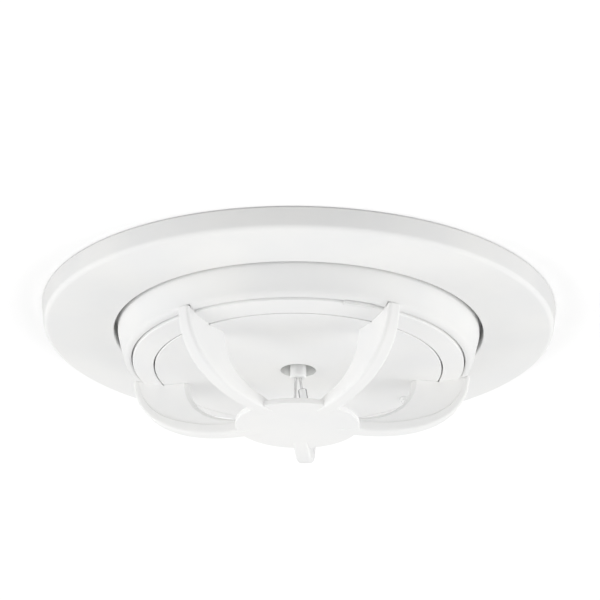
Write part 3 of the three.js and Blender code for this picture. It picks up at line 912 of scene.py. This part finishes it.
@dataclass
class FlangedBase(SubAssembly):
    """Flange over the ceiling box, with the socket, its hooks and its keyholes."""

    node: str = "base_flange"
    radius: float = 77.0 * MM
    drop: float = 6.7 * MM
    draft: float = 0.5 * MM
    edge_round: float = 1.7 * MM
    bore: float = 55.4 * MM
    bore_drop: float = 7.95 * MM
    bore_round: float = 0.35 * MM
    wall: float = 2.0 * MM
    deck: float = 2.2 * MM
    wire_hole: float = 17.0 * MM
    keyholes: tuple[float, ...] = (30.0 * MM, 41.7 * MM)
    keyhole_slot: float = 4.6 * MM
    keyhole_head: float = 9.4 * MM
    keyhole_travel: float = 6.5 * MM
    ribs: int = 8
    rib_width: float = 1.6 * MM
    rib_setback: float = 0.8 * MM
    hooks: int = 4
    hook_azimuth: float = 20.0
    hook_angle: float = 24.0
    hook_outer: float = 50.4 * MM
    hook_wall: float = 2.6 * MM
    hook_reach: float = 3.4 * MM
    ledge_top: float = 6.6 * MM
    ledge: float = 1.5 * MM
    lug_angle: float = 14.0
    stop_angle: float = 4.0
    stop_gap: float = 0.4    # degrees
    pads: int = 4
    pad_azimuth: float = 56.0
    pad_radius: float = 32.0 * MM
    pad_size: tuple[float, float] = (9.0 * MM, 9.6 * MM)
    pad_height: float = 0.6 * MM
    screw_hole: float = 1.8 * MM

    def build(self) -> bpy.types.Object:
        """Builds the base and stands it in for its node.

        Returns:
            The base.
        """
        body = self.shell()
        Workshop.combine(body, [*self.rib_set(), *self.hook_set(), *self.pad_set()], Cut.JOIN)
        Workshop.combine(body, self.hole_set(), Cut.TAKE)
        return self.install(body, self.node, "base_plastic", "base")

    def shell(self) -> bpy.types.Object:
        """Flange, socket wall and deck as one turned ring.

        Returns:
            The ring.
        """
        foot = self.radius - self.draft
        slope = (self.bore_drop - self.drop) / (foot - self.bore)
        skirt = self.bore + self.wall
        inside = foot - self.wall
        inner_drop = self.drop - self.wall
        return Workshop.turned("flanged_base", [
            Corner(self.wire_hole, 0, EASED),
            Corner(self.wire_hole, -self.deck, EASED),
            Corner(self.bore, -self.deck, SOFT),
            Corner(self.bore, -(self.bore_drop + slope * self.bore_round), self.bore_round),
            Corner(foot, -self.drop, self.edge_round),
            Corner(self.radius, 0, CRISP),
            Corner(self.radius - self.wall, 0, CRISP),
            Corner(inside, -inner_drop, WIDE),
            Corner(skirt, -(self.bore_drop - self.wall), WIDE),
            Corner(skirt, 0, CRISP),
        ])

    def rib_set(self) -> list[bpy.types.Object]:
        """Radial stiffeners behind the flange.

        Returns:
            One block for each.
        """
        inner = self.bore + self.wall - OVERLAP
        outer = self.radius - self.wall + OVERLAP
        low = -(self.bore_drop - self.wall + OVERLAP / 2)
        return [Workshop.block("rib", self.rib_width, inner, outer, (index + 0.5) * 360 / self.ribs, low,
                               -self.rib_setback) for index in range(self.ribs)]

    def hook_set(self) -> list[bpy.types.Object]:
        """Hooks of the twist lock: a wall, a ledge and a stop each.

        Returns:
            Their blocks.
        """
        parts = []
        wall_inner = self.hook_outer - self.hook_wall
        inner = wall_inner - self.hook_reach
        half = self.hook_angle / 2
        low = -(self.ledge_top + self.ledge)
        high = -self.deck + OVERLAP
        for index in range(self.hooks):
            middle = self.hook_azimuth + index * 360 / self.hooks
            start, end = middle - half, middle + half
            stop = middle + self.lug_angle / 2 + self.stop_gap
            join = wall_inner + OVERLAP
            parts += [
                Workshop.sector("hook", wall_inner, self.hook_outer, start, end, low, high),
                Workshop.sector("ledge", inner, join, start, end, low, -self.ledge_top),
                Workshop.sector("stop", inner, join, stop, stop + self.stop_angle, low, high),
            ]
        return parts

    def pad_set(self) -> list[bpy.types.Object]:
        """Raised pads that the terminals sit on.

        Returns:
            One block for each.
        """
        width, length = self.pad_size
        return [Workshop.block("pad", width, self.pad_radius - length / 2, self.pad_radius + length / 2,
                               self.pad_azimuth + index * 360 / self.pads, -(self.deck + self.pad_height),
                               -self.deck + OVERLAP) for index in range(self.pads)]

    def hole_set(self) -> list[bpy.types.Object]:
        """Cutting tools for the keyholes and the terminals' screws.

        Returns:
            The tools.
        """
        low, high = -(self.deck + OVERRUN), OVERRUN
        tools = []
        for index, distance in enumerate(self.keyholes):
            for azimuth in (index * 90, index * 90 + 180):
                start = distance - self.keyhole_travel
                entry, end = azimuth_point(start, azimuth), azimuth_point(distance, azimuth)
                tools += [
                    Workshop.disc("entry", self.keyhole_head / 2, entry, low, high),
                    Workshop.block("slot", self.keyhole_slot, start, distance, azimuth, low, high),
                    Workshop.disc("end", self.keyhole_slot / 2, end, low, high),
                ]
        for index in range(self.pads):
            azimuth = self.pad_azimuth + index * 360 / self.pads
            tools.append(Workshop.disc("screw_hole", self.screw_hole, azimuth_point(self.pad_radius, azimuth),
                                       low - self.pad_height, high))
        return tools


@dataclass(frozen=True)
class Key:
    """Tab on the cage's ring that keys it to the cover.

    Args:
        azimuth: its middle
        angle: its width in degrees
        reach: its outer radius
        gap: between it and the cover
    """

    azimuth: float = 20.5
    angle: float = 10.4
    reach: float = 50.3 * MM
    gap: float = 0.05 * MM

    def sector(self, inner: float, grow: float, low: float, high: float) -> bpy.types.Object:
        """Block in the shape of the tab.

        Args:
            inner: its inner radius
            grow: how much larger than the tab it is
            low: drop of its lower face
            high: drop of its upper face

        Returns:
            The block.
        """
        half = self.angle / 2 + math.degrees(grow / self.reach)
        start, end = self.azimuth - half, self.azimuth + half
        return Workshop.sector("key", inner, self.reach + grow, start, end, -low, -high)


@dataclass
class OuterCover(SubAssembly):
    """Drafted ring that is the head's outer shell."""

    node: str = "outer_cover"
    radius: float = 54.2 * MM
    taper_from: float = 7.95 * MM
    draft: float = 0.235
    top: float = 4.3 * MM
    wall: float = 1.8 * MM
    drop: float = 17.0 * MM
    foot_round: float = 2.2 * MM
    taper_round: float = 3.0 * MM
    rim: float = 49.9 * MM
    rim_round: float = 0.45 * MM
    rim_height: float = 2.0 * MM
    low_inner: float = 51.45 * MM
    ledge: float = 10.6 * MM
    notch_top: float = 15.8 * MM
    notch_width: float = 4.2 * MM
    web_notch: tuple[float, float] = (3.9 * MM, 50.7 * MM)
    snap_depth: float = 0.7 * MM
    snap_angle: float = 8.0
    snap_low: float = 8.4 * MM
    snap_height: float = 0.8 * MM

    def build(self, key: "Key") -> bpy.types.Object:
        """Builds the cover and stands it in for its node.

        Args:
            key: the cage's key, which has its way through the rim

        Returns:
            The cover.
        """
        foot = self.radius - self.draft * (self.drop - self.taper_from)
        inner = self.radius - self.wall
        body = Workshop.turned("outer_cover_shell", [
            Corner(self.low_inner, -(self.drop - self.rim_height)),
            Corner(self.rim, -(self.drop - self.rim_height), EASED),
            Corner(self.rim, -self.drop, self.rim_round),
            Corner(foot, -self.drop, self.foot_round),
            Corner(self.radius, -self.taper_from, self.taper_round),
            Corner(self.radius, -self.top, SOFT),
            Corner(inner, -self.top, SOFT),
            Corner(inner, -self.ledge),
            Corner(self.low_inner, -self.ledge),
        ])
        half = self.snap_angle / 2
        low = self.drop + OVERRUN
        web_width, web_end = self.web_notch
        snaps = []
        notches = []
        for index in range(FIN_COUNT):
            azimuth = FIN_AZIMUTH + index * 360 / FIN_COUNT
            between = azimuth + 180 / FIN_COUNT
            snaps.append(Workshop.sector("snap", inner - self.snap_depth, inner + OVERLAP, between - half,
                                         between + half, -self.snap_low, -(self.snap_low - self.snap_height)))
            for width, start, end in ((self.notch_width, web_end, self.radius + OVERRUN),
                                      (web_width, self.rim - OVERRUN, web_end + OVERLAP)):
                notches.append(Workshop.block("notch", width, start, end, azimuth, -low, -self.notch_top))
        Workshop.combine(body, snaps, Cut.JOIN)
        keyway = key.sector(self.rim - OVERRUN, key.gap, low, self.drop - self.rim_height - OVERRUN)
        Workshop.combine(body, [*notches, keyway], Cut.TAKE)
        return self.install(body, self.node, "cover_plastic")


@dataclass
class SensorPlate(SubAssembly):
    """Plate that closes the head's front, a little lower in its middle."""

    node: str = "sensor_plate"
    radius: float = 42.85 * MM
    rim_drop: float = 19.2 * MM
    dish: float = 0.55 * MM
    thickness: float = 1.7 * MM
    rim_height: float = 2.4 * MM
    rim_wall: float = 2.0 * MM
    hole: float = 5.27 * MM
    hole_lip: tuple[float, float] = (1.2 * MM, 2.6 * MM)
    bosses: int = 3
    boss_radius: float = 2.2 * MM
    boss_circle: float = 30.0 * MM
    boss_azimuth: float = 60.0
    boss_top: float = 13.5 * MM

    def level(self, radius: float) -> float:
        """Height of its lower face at a radius."""
        return -self.rim_drop - self.dish * (1 - radius / self.radius)

    def build(self, light: "StatusLight") -> bpy.types.Object:
        """Builds the plate and stands it in for its node.

        Args:
            light: the status light, which it has a hole for

        Returns:
            The plate.
        """
        lip_wall, lip_height = self.hole_lip
        lip_outer = self.hole + lip_wall
        inner = self.radius - self.rim_wall
        above = self.thickness
        lip = self.level(self.hole) + above + lip_height
        rim = self.level(self.radius) + above + self.rim_height
        body = Workshop.turned("front_plate", [
            Corner(self.hole, lip, FAINT),
            Corner(self.hole, self.level(self.hole), CRISP),
            Corner(self.radius, self.level(self.radius), EASED),
            Corner(self.radius, rim, EASED),
            Corner(inner, rim, EASED),
            Corner(inner, self.level(inner) + above, SOFT),
            Corner(lip_outer, self.level(lip_outer) + above),
            Corner(lip_outer, lip, FAINT),
        ])
        bosses = [Workshop.disc("boss", self.boss_radius,
                                azimuth_point(self.boss_circle, self.boss_azimuth + index * 360 / self.bosses),
                                self.level(self.boss_circle) + above - OVERLAP, -self.boss_top)
                  for index in range(self.bosses)]
        Workshop.combine(body, bosses, Cut.JOIN)
        Workshop.combine(body, [light.hole_tool(self)], Cut.TAKE)
        return self.install(body, self.node, "plate_plastic")


@dataclass
class StatusLight(SubAssembly):
    """Small clear dome beside the sensor."""

    node: str = "status_led"
    radius: float = 1.5 * MM
    dome: float = 1.3 * MM
    dome_steps: int = 10
    circle: float = 39.4 * MM
    azimuth: float = 124.6
    proud: float = 1.5 * MM
    top: float = 13.5 * MM
    gap: float = 0.05 * MM

    def hole_tool(self, plate: SensorPlate) -> bpy.types.Object:
        """Cutting tool for its hole in the plate.

        Args:
            plate: the plate

        Returns:
            The tool.
        """
        low = plate.level(self.circle) - OVERRUN
        centre = azimuth_point(self.circle, self.azimuth)
        return Workshop.disc("light_hole", self.radius + self.gap, centre, low, -self.top + OVERRUN)

    def build(self, plate: SensorPlate) -> bpy.types.Object:
        """Builds the dome and stands it in for its node.

        Args:
            plate: the plate that it stands out of

        Returns:
            The dome.
        """
        low = plate.level(self.circle) - self.proud
        body = Workshop.turned("status_lens", [
            Corner(0, -self.top),
            Corner(0, low),
            Corner(self.radius, low, self.dome),
            Corner(self.radius, -self.top, FAINT),
        ], SMALL_SIDES, self.dome_steps)
        body.data.transform(Matrix.Translation(azimuth_point(self.circle, self.azimuth)))
        return self.install(body, self.node, "led_lens")


@dataclass
class Fin:
    """One fin of the cage, drawn at azimuth 0 and copied round the axis."""

    reach: float = 53.1 * MM
    start_drop: float = 16.3 * MM
    lift: float = 0.3 * MM
    bulge: float = -0.7 * MM
    bend: float = 0.716
    shoulder: float = 16.6 * MM
    foot: float = 35.15 * MM
    root_drop: float = 18.8 * MM
    inner_bend: tuple[float, float] = (0.48, 0.9)
    inner_shoulder: float = 31.05 * MM
    tuck: float = 2.55 * MM
    ribs: tuple[float, float] = (4.0 * MM, 4.7 * MM)
    rib_run: float = 0.4
    web: float = 3.7 * MM
    nose: float = 0.9 * MM
    nose_depth: float = 1.2 * MM
    tip_share: float = 0.8
    corner: float = 1.0 * MM
    corner_steps: int = 5
    side_draft: float = 0.15 * MM
    step_depth: float = 0.25 * MM
    ledge: tuple[float, float] = (2.0 * MM, 3.4 * MM)
    ledge_run: float = 0.6
    proud: float = 0.4 * MM
    fade: float = 8.6 * MM
    steps: int = 56
    fade_steps: int = 14

    def outer_edge(self, step: float, hub: "Hub") -> Vector:
        """Point of the outer edge in the plane of the fin.

        Args:
            step: 0 at the cover, 1 at the hub's edge, 2 where it has sunk into the hub
            hub: the hub

        Returns:
            (r, z) there.
        """
        at_hub = Vector((hub.radius, -(hub.drop + self.proud)))
        if step <= 1:
            return bezier([
                Vector((self.reach, -self.start_drop)),
                Vector((self.reach + self.bulge, -blend(self.start_drop - self.lift, hub.drop, self.bend))),
                Vector((self.reach - self.shoulder, at_hub.y)),
                at_hub,
            ], step)
        return bezier([
            at_hub,
            Vector(((hub.radius + self.fade) / 2, at_hub.y)),
            Vector((self.fade, -(hub.drop - OVERLAP))),
        ], step - 1)

    def inner_edge(self, step: float, hub: "Hub") -> Vector:
        """Point of the inner edge that faces the outer one.

        Args:
            step: as on the outer edge
            hub: the hub

        Returns:
            (r, z) there.
        """
        over = -(hub.drop - hub.thickness - self.tuck)
        root = -self.root_drop
        first, second = self.inner_bend
        edge = [
            Vector((self.foot, root)),
            Vector((self.foot, blend(root, over, first))),
            Vector((self.inner_shoulder, blend(root, over, second))),
            Vector((hub.radius - OVERRUN, over)),
        ]
        if step <= 1:
            return bezier(edge, step ** 2)
        return edge[-1].lerp(Vector((self.fade, -(hub.drop - hub.thickness + OVERLAP))), step - 1)

    def section(self, depth: float, step: float) -> list[tuple[float, float]]:
        """Half of the fin's section, from its outer edge inwards.

        Args:
            depth: from the outer to the inner edge there
            step: as on the outer edge

        Returns:
            Points as (how far in, half the width there).
        """
        rib = blend(*self.ribs, min(1, step / self.rib_run)) / 2
        web = self.web / 2
        room = depth / 5     # a shallow section shares its depth out in fifths
        corner = min(self.corner, 2 * room)
        nose = min(self.nose_depth, room)
        ledge = min(blend(*self.ledge, min(1, step / self.ledge_run)), 4 * room)
        points = [(0.0, 0.0), (0.0, (rib - corner) / 2)]
        for turn in range(self.corner_steps + 1):
            angle = math.pi / 2 * turn / self.corner_steps
            points.append((corner * (1 - math.cos(angle)), rib - corner * (1 - math.sin(angle))))
        side = max(ledge - self.step_depth, corner)
        points += [(blend(corner, side, share), rib - self.side_draft * share) for share in (0.5, 1)]
        points.append((blend(side, ledge, 0.2), rib - self.side_draft * 1.3))
        points.append((ledge, web))
        flat = depth - nose
        points += [(blend(ledge, flat, share), web) for share in (0.33, 0.67, 1)]
        tip = self.nose / 2
        points += [(blend(flat, depth, share), blend(web, tip, share)) for share in (0.06, 0.5, 0.94)]
        points.append((depth, tip * self.tip_share))
        points.append((depth, 0.0))
        return points

    def build(self, hub: "Hub", room: Callable[[], bpy.types.Object]) -> bpy.types.Object:
        """Builds the fin at azimuth 0.

        Args:
            hub: the hub that it runs into
            room: makes a tool that clears the plate and its gap

        Returns:
            The fin.
        """
        shares = [index / self.steps for index in range(self.steps)]
        shares += [1 + index / self.fade_steps for index in range(self.fade_steps + 1)]
        rings = []
        for step in shares:
            outer = self.outer_edge(step, hub)
            inward = self.inner_edge(step, hub) - outer
            depth = inward.length
            inward.normalize()
            half = self.section(depth, step)
            loop = half + [(run, -width) for run, width in reversed(half[1:-1])]
            rings.append([Vector((width, -(outer.x + inward.x * run), outer.y + inward.y * run))
                          for run, width in loop])
        return Workshop.combine(Workshop.loft("fin", rings), [room()], Cut.TAKE)


@dataclass
class Hub:
    """Round plate at the bottom of the cage."""

    radius: float = 18.5 * MM
    drop: float = 37.45 * MM
    thickness: float = 1.8 * MM
    edge_round: float = 0.35 * MM

    def build(self) -> bpy.types.Object:
        """Builds the hub.

        Returns:
            The hub.
        """
        return Workshop.turned("hub", [
            Corner(0, -(self.drop - self.thickness)),
            Corner(0, -self.drop),
            Corner(self.radius, -self.drop, self.edge_round),
            Corner(self.radius, -(self.drop - self.thickness), self.edge_round),
        ])


@dataclass
class ProtectiveCage(SubAssembly):
    """Ring, five fins and the hub, which are one moulding."""

    hub: Hub = field(default_factory=Hub)
    fin: Fin = field(default_factory=Fin)
    node: str = "protective_cage"
    outer: float = 49.55 * MM
    ring_drop: float = 17.6 * MM
    inner: float = 43.25 * MM
    inner_drop: float = 19.08 * MM
    thickness: float = 2.0 * MM
    wall: float = 2.0 * MM
    lip: float = 51.15 * MM
    lip_low: float = 14.7 * MM
    lip_top: float = 13.3 * MM
    key: Key = field(default_factory=Key)
    gap: float = 0.02 * MM

    def ring(self) -> bpy.types.Object:
        """Ring with its lip and its key.

        Returns:
            The ring.
        """
        wall_inner = self.outer - self.wall
        body = Workshop.turned("cage", [
            Corner(self.inner, -(self.inner_drop - self.thickness)),
            Corner(self.inner, -self.inner_drop, CRISP),
            Corner(self.outer, -self.ring_drop, SOFT),
            Corner(self.outer, -self.lip_low, FAINT),
            Corner(self.lip, -self.lip_low, FAINT),
            Corner(self.lip, -self.lip_top, FAINT),
            Corner(wall_inner, -self.lip_top),
            Corner(wall_inner, -(self.ring_drop - self.thickness)),
        ])
        key = self.key.sector(self.outer - OVERLAP, 0, self.ring_drop, self.lip_low - OVERLAP)
        return Workshop.combine(body, [key], Cut.JOIN)

    def build(self, plate: SensorPlate) -> bpy.types.Object:
        """Builds the cage and stands it in for its node.

        Args:
            plate: the plate behind it, which the fins clear

        Returns:
            The cage.
        """
        def room() -> bpy.types.Object:
            """Space of the plate and its gap, up through the ring.

            Returns:
                The tool.
            """
            return Workshop.turned("room", [
                Corner(0, 0),
                Corner(0, plate.level(0) - self.gap),
                Corner(self.inner, plate.level(plate.radius) - self.gap),
                Corner(self.inner, 0),
            ])

        fins = []
        for index in range(FIN_COUNT):
            fin = self.fin.build(self.hub, room)
            turn = math.radians(FIN_AZIMUTH + index * 360 / FIN_COUNT)
            fin.data.transform(Matrix.Rotation(turn, 4, "Z"))
            fins.append(fin)
        body = Workshop.combine(self.ring(), [self.hub.build(), *fins], Cut.JOIN)
        return self.install(body, self.node, "cage_plastic")


@dataclass
class BeadSensor(SubAssembly):
    """Glass bead thermistor on its two wires, below its collar."""

    collar: float = 2.4 * MM
    collar_round: float = 0.45 * MM
    collar_sides: int = 96
    bore_sides: int = 24
    collar_drop: float = 22.1 * MM
    board_under: float = 13.5 * MM
    board_top: float = 11.6 * MM
    wire: float = 0.34 * MM
    spacing: float = 1.46 * MM
    bead: float = 1.3 * MM
    bead_rounds: tuple[float, float] = (0.35 * MM, 0.6 * MM)
    bead_sides: int = 64
    bead_length: float = 4.4 * MM
    bead_top: float = 25.8 * MM
    bead_offset: float = 1.3 * MM
    lean: float = 8.6
    loop: float = 1.3 * MM
    bend: float = 0.75
    gap: float = 0.2 * MM

    def along(self, run: float) -> Vector:
        """Point on the bead's axis, a run below its top."""
        angle = math.radians(self.lean)
        return Vector((self.bead_offset + run * math.sin(angle), 0, -self.bead_top - run * math.cos(angle)))

    def build_collar(self) -> bpy.types.Object:
        """Builds the collar with its two bores.

        Returns:
            The collar.
        """
        body = Workshop.turned("sensor_collar", [
            Corner(0, -self.board_under),
            Corner(0, -self.collar_drop),
            Corner(self.collar, -self.collar_drop, self.collar_round),
            Corner(self.collar, -self.board_under, FAINT),
        ], self.collar_sides)
        low, high = -(self.collar_drop + OVERRUN), -self.board_under + OVERRUN
        bores = [Workshop.disc("bore", self.wire + self.gap, Vector((x, 0, 0)), low, high, self.bore_sides)
                 for x in (-self.spacing / 2, self.spacing / 2)]
        Workshop.combine(body, bores, Cut.TAKE)
        return self.install(body, "thermistor_collar", "collar_plastic")

    def build_bead(self) -> bpy.types.Object:
        """Builds the glass bead.

        Returns:
            The bead.
        """
        body = Workshop.turned("glass_bead", [
            Corner(0, 0),
            Corner(0, -self.bead_length),
            Corner(self.bead, -self.bead_length, self.bead_rounds[1]),
            Corner(self.bead, 0, self.bead_rounds[0]),
        ], self.bead_sides)
        tilt = Matrix.Rotation(-math.radians(self.lean), 4, "Y")
        body.data.transform(Matrix.Translation(self.along(0)) @ tilt)
        return self.install(body, "thermistor_bead", "sensor_glass")

    def route(self, points: Sequence[Vector], steps: int = 8) -> list[Vector]:
        """Smooth route through points.

        Args:
            points: where it passes
            steps: how many parts each stretch is split into

        Returns:
            Its points.
        """
        ends = [points[0] * 2 - points[1], *points, points[-1] * 2 - points[-2]]
        route = []
        for before, start, end, after in zip(ends, ends[1:], ends[2:], ends[3:]):
            hand = (start - end).length / 3
            out = start + (end - before).normalized() * hand
            back = end - (after - start).normalized() * hand
            route += [bezier([start, out, back, end], step / steps) for step in range(steps)]
        return route + [points[-1]]

    def build_wires(self) -> list[bpy.types.Object]:
        """Builds the short lead and the one that passes the bead.

        Returns:
            The two leads.
        """
        x = self.spacing / 2
        top = self.along(-self.gap)
        short = [Vector((x, 0, -self.board_top)), Vector((x, 0, -self.collar_drop)),
                 Vector(((x + top.x) / 2, 0, blend(-self.collar_drop, top.z, self.bend))), top]
        end = self.along(self.bead_length + self.gap)
        low = end.z - self.loop
        turn = blend(end.z, low, self.bend)
        looped = [Vector((-x, 0, -self.board_top)), Vector((-x, 0, -self.collar_drop)), Vector((-x, 0, end.z)),
                  Vector((blend(-x, end.x, 1 - self.bend), 0, turn)), Vector(((end.x - x) / 2, 0, low)),
                  Vector((blend(-x, end.x, self.bend), 0, turn)), end]
        return [
            self.install(Workshop.tube("short_lead", self.route(short), self.wire), "thermistor_lead_short",
                        "tinned_copper"),
            self.install(Workshop.tube("looped_lead", self.route(looped), self.wire), "thermistor_lead_looped",
                        "tinned_copper"),
        ]


class Studio:
    """Camera, ceiling and light."""

    FOCAL = 5325.6 / 600      # focal length over the frame's width
    DISTANCE = 1600.0 * MM
    ELEVATION = 22.7          # degrees, looking up
    ROLL = 0.72               # degrees
    SHIFT = (1.08 / 600, 10.03 / 600)
    SENSOR = 36.0
    CLIP = (0.01, 20.0)
    CEILING_GAP = 0.25 * MM
    CEILING_LAP = 1.2 * MM    # how far the ceiling reaches over the flange's rim
    CEILING_SIZE = 1.2        # its radius
    CEILING_SIDES = 96
    CEILING_TONE = (0.9, 0.9, 0.9)
    CEILING_GLOW = 0.18       # what the camera sees on top of it
    CEILING_BOUNCE = 0.42     # how much of the room's light the ceiling throws back
    ROOM = 0.71               # strength of the room's light all round
    FRONT = 0.36              # and what comes on top of it from the front
    SIDES = 1.95              # and from the sides
    SIDES_FROM = 0.5          # where that starts: share of the way round to the side
    LAMPS = 4.2               # watts
    LAMP_SIZE = 1.0
    LAMP_PLACE = Vector((1.45, 0.0, -0.6))

    def camera(self) -> None:
        """Places the camera below and in front, looking up at the origin."""
        data = bpy.data.cameras.new("camera")
        data.sensor_width = data.sensor_height = self.SENSOR
        data.lens = self.FOCAL * self.SENSOR
        data.shift_x, data.shift_y = self.SHIFT
        data.clip_start, data.clip_end = self.CLIP
        camera = bpy.data.objects.new("camera", data)
        bpy.context.scene.collection.objects.link(camera)
        angle = math.radians(self.ELEVATION)
        ahead = Vector((0, math.cos(angle), math.sin(angle)))
        turn = Matrix.Rotation(math.radians(90) + angle, 4, "X")
        roll = Matrix.Rotation(math.radians(self.ROLL), 4, "Z")
        camera.matrix_world = Matrix.Translation(-ahead * self.DISTANCE) @ turn @ roll
        bpy.context.scene.camera = camera

    def world(self) -> None:
        """White world for what looks straight at it, and a room that lights the object."""
        world = bpy.data.worlds.new("room")
        world.use_nodes = True
        bpy.context.scene.world = world
        graph = Graph(world.node_tree)
        graph.nodes.clear()
        place = graph.add("TexCoord").outputs["Generated"]
        split = graph.add("SeparateXYZ", {"Vector": place}).outputs
        front = graph.map_range(split["Y"], -1.0, 0.0, self.ROOM + self.FRONT, self.ROOM)
        sides = graph.map_range(graph.math("ABSOLUTE", split["X"]), self.SIDES_FROM, 1.0, 0.0, self.SIDES)
        room = graph.add("Background", {"Strength": graph.math("ADD", front, sides)})
        white = graph.add("Background", {"Strength": 1.0, "Color": (1, 1, 1, 1)})
        path = graph.add("LightPath").outputs
        seen = graph.math("MAXIMUM", path["Is Camera Ray"], path["Is Transmission Ray"])
        seen = graph.math("MAXIMUM", seen, path["Is Glossy Ray"])
        shades = {"Fac": seen, 1: room.outputs["Background"], 2: white.outputs["Background"]}
        mix = graph.add("MixShader", shades)
        graph.add("OutputWorld", {"Surface": mix.outputs["Shader"]})

    def ceiling(self, hole: float) -> None:
        """Pale ceiling round the base, which can't be seen from above.

        Args:
            hole: radius of the opening that the ceiling box takes
        """
        sides = self.CEILING_SIDES
        verts = [azimuth_point(radius, 360 * side / sides, self.CEILING_GAP)
                 for radius in (hole, self.CEILING_SIZE) for side in range(sides)]
        faces = [(side, (side + 1) % sides, sides + (side + 1) % sides, sides + side) for side in range(sides)]
        built = Workshop.mesh_object("ceiling", verts, faces)
        if built.data.polygons[0].normal.z > 0:
            built.data.flip_normals()
        paint = Shader("ceiling_paint")
        seen = paint.add("LightPath").outputs["Is Camera Ray"]
        tone = paint.mix(seen, [self.CEILING_BOUNCE] * 3, self.CEILING_TONE)
        paint.set(Base_Color=tone, Roughness=0.9, Specular_IOR_Level=0.1, Emission_Color=(1, 1, 1, 1),
                  Emission_Strength=paint.math("MULTIPLY", seen, self.CEILING_GLOW))
        clear = paint.add("BsdfTransparent").outputs["BSDF"]
        above = paint.add("NewGeometry").outputs["Backfacing"]
        mix = paint.add("MixShader", {"Fac": above, 1: paint.surface.outputs["BSDF"], 2: clear})
        paint.feed(paint.nodes["Material Output"].inputs["Surface"], mix.outputs["Shader"])
        built.data.materials.append(paint.material)
        built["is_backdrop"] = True

    def lamp(self, name: str, place: Vector) -> None:
        """Soft square lamp that faces the object and isn't mirrored in it.

        Args:
            name: its name
            place: where it stands
        """
        data = bpy.data.lights.new(name, "AREA")
        data.shape = "SQUARE"
        data.size = self.LAMP_SIZE
        data.energy = self.LAMPS
        lamp = bpy.data.objects.new(name, data)
        bpy.context.scene.collection.objects.link(lamp)
        lamp.visible_glossy = False
        aim = (-place).to_track_quat("-Z", "Y").to_matrix().to_4x4()
        lamp.matrix_world = Matrix.Translation(place) @ aim

    def build(self, base: FlangedBase) -> None:
        """Sets up the whole studio round the base.

        Args:
            base: the base, which gives the ceiling its opening
        """
        self.camera()
        self.world()
        self.ceiling(base.radius - self.CEILING_LAP)
        self.lamp("left_window", self.LAMP_PLACE * Vector((-1, 1, 1)))
        self.lamp("right_window", self.LAMP_PLACE)
        bpy.context.scene.view_settings.view_transform = "Standard"


def dress_hidden(palette: Palette) -> None:
    """Gives every node of the frame that stays its finish from the record."""
    for entry in frame["record"]["subparts"]:
        palette.dress_node(entry["node"], entry["material_slot"])


def write_sizes() -> None:
    """Works out the frame's box and the visual model's box as plain lists of numbers, and then drops them."""
    boxes = [[list(corner) for corner in box] for box in (CAD_BOX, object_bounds())]


def main() -> None:
    """Builds and dresses every piece in order."""
    logging.basicConfig(level=logging.INFO, format="%(message)s")
    palette = Palette()
    dress_hidden(palette)
    base = FlangedBase(palette)
    plate = SensorPlate(palette)
    light = StatusLight(palette)
    sensor = BeadSensor(palette)
    Studio().build(base)
    cage = ProtectiveCage(palette)
    built = [base.build(), OuterCover(palette).build(cage.key), plate.build(light), light.build(plate)]
    built += [cage.build(plate), sensor.build_collar(), sensor.build_bead()]
    built += sensor.build_wires()
    for piece in built:
        LOG.info("%s: %d points, %d faces", piece.name, len(piece.data.vertices), len(piece.data.polygons))
    write_sizes()


if __name__ == "__main__":
    main()
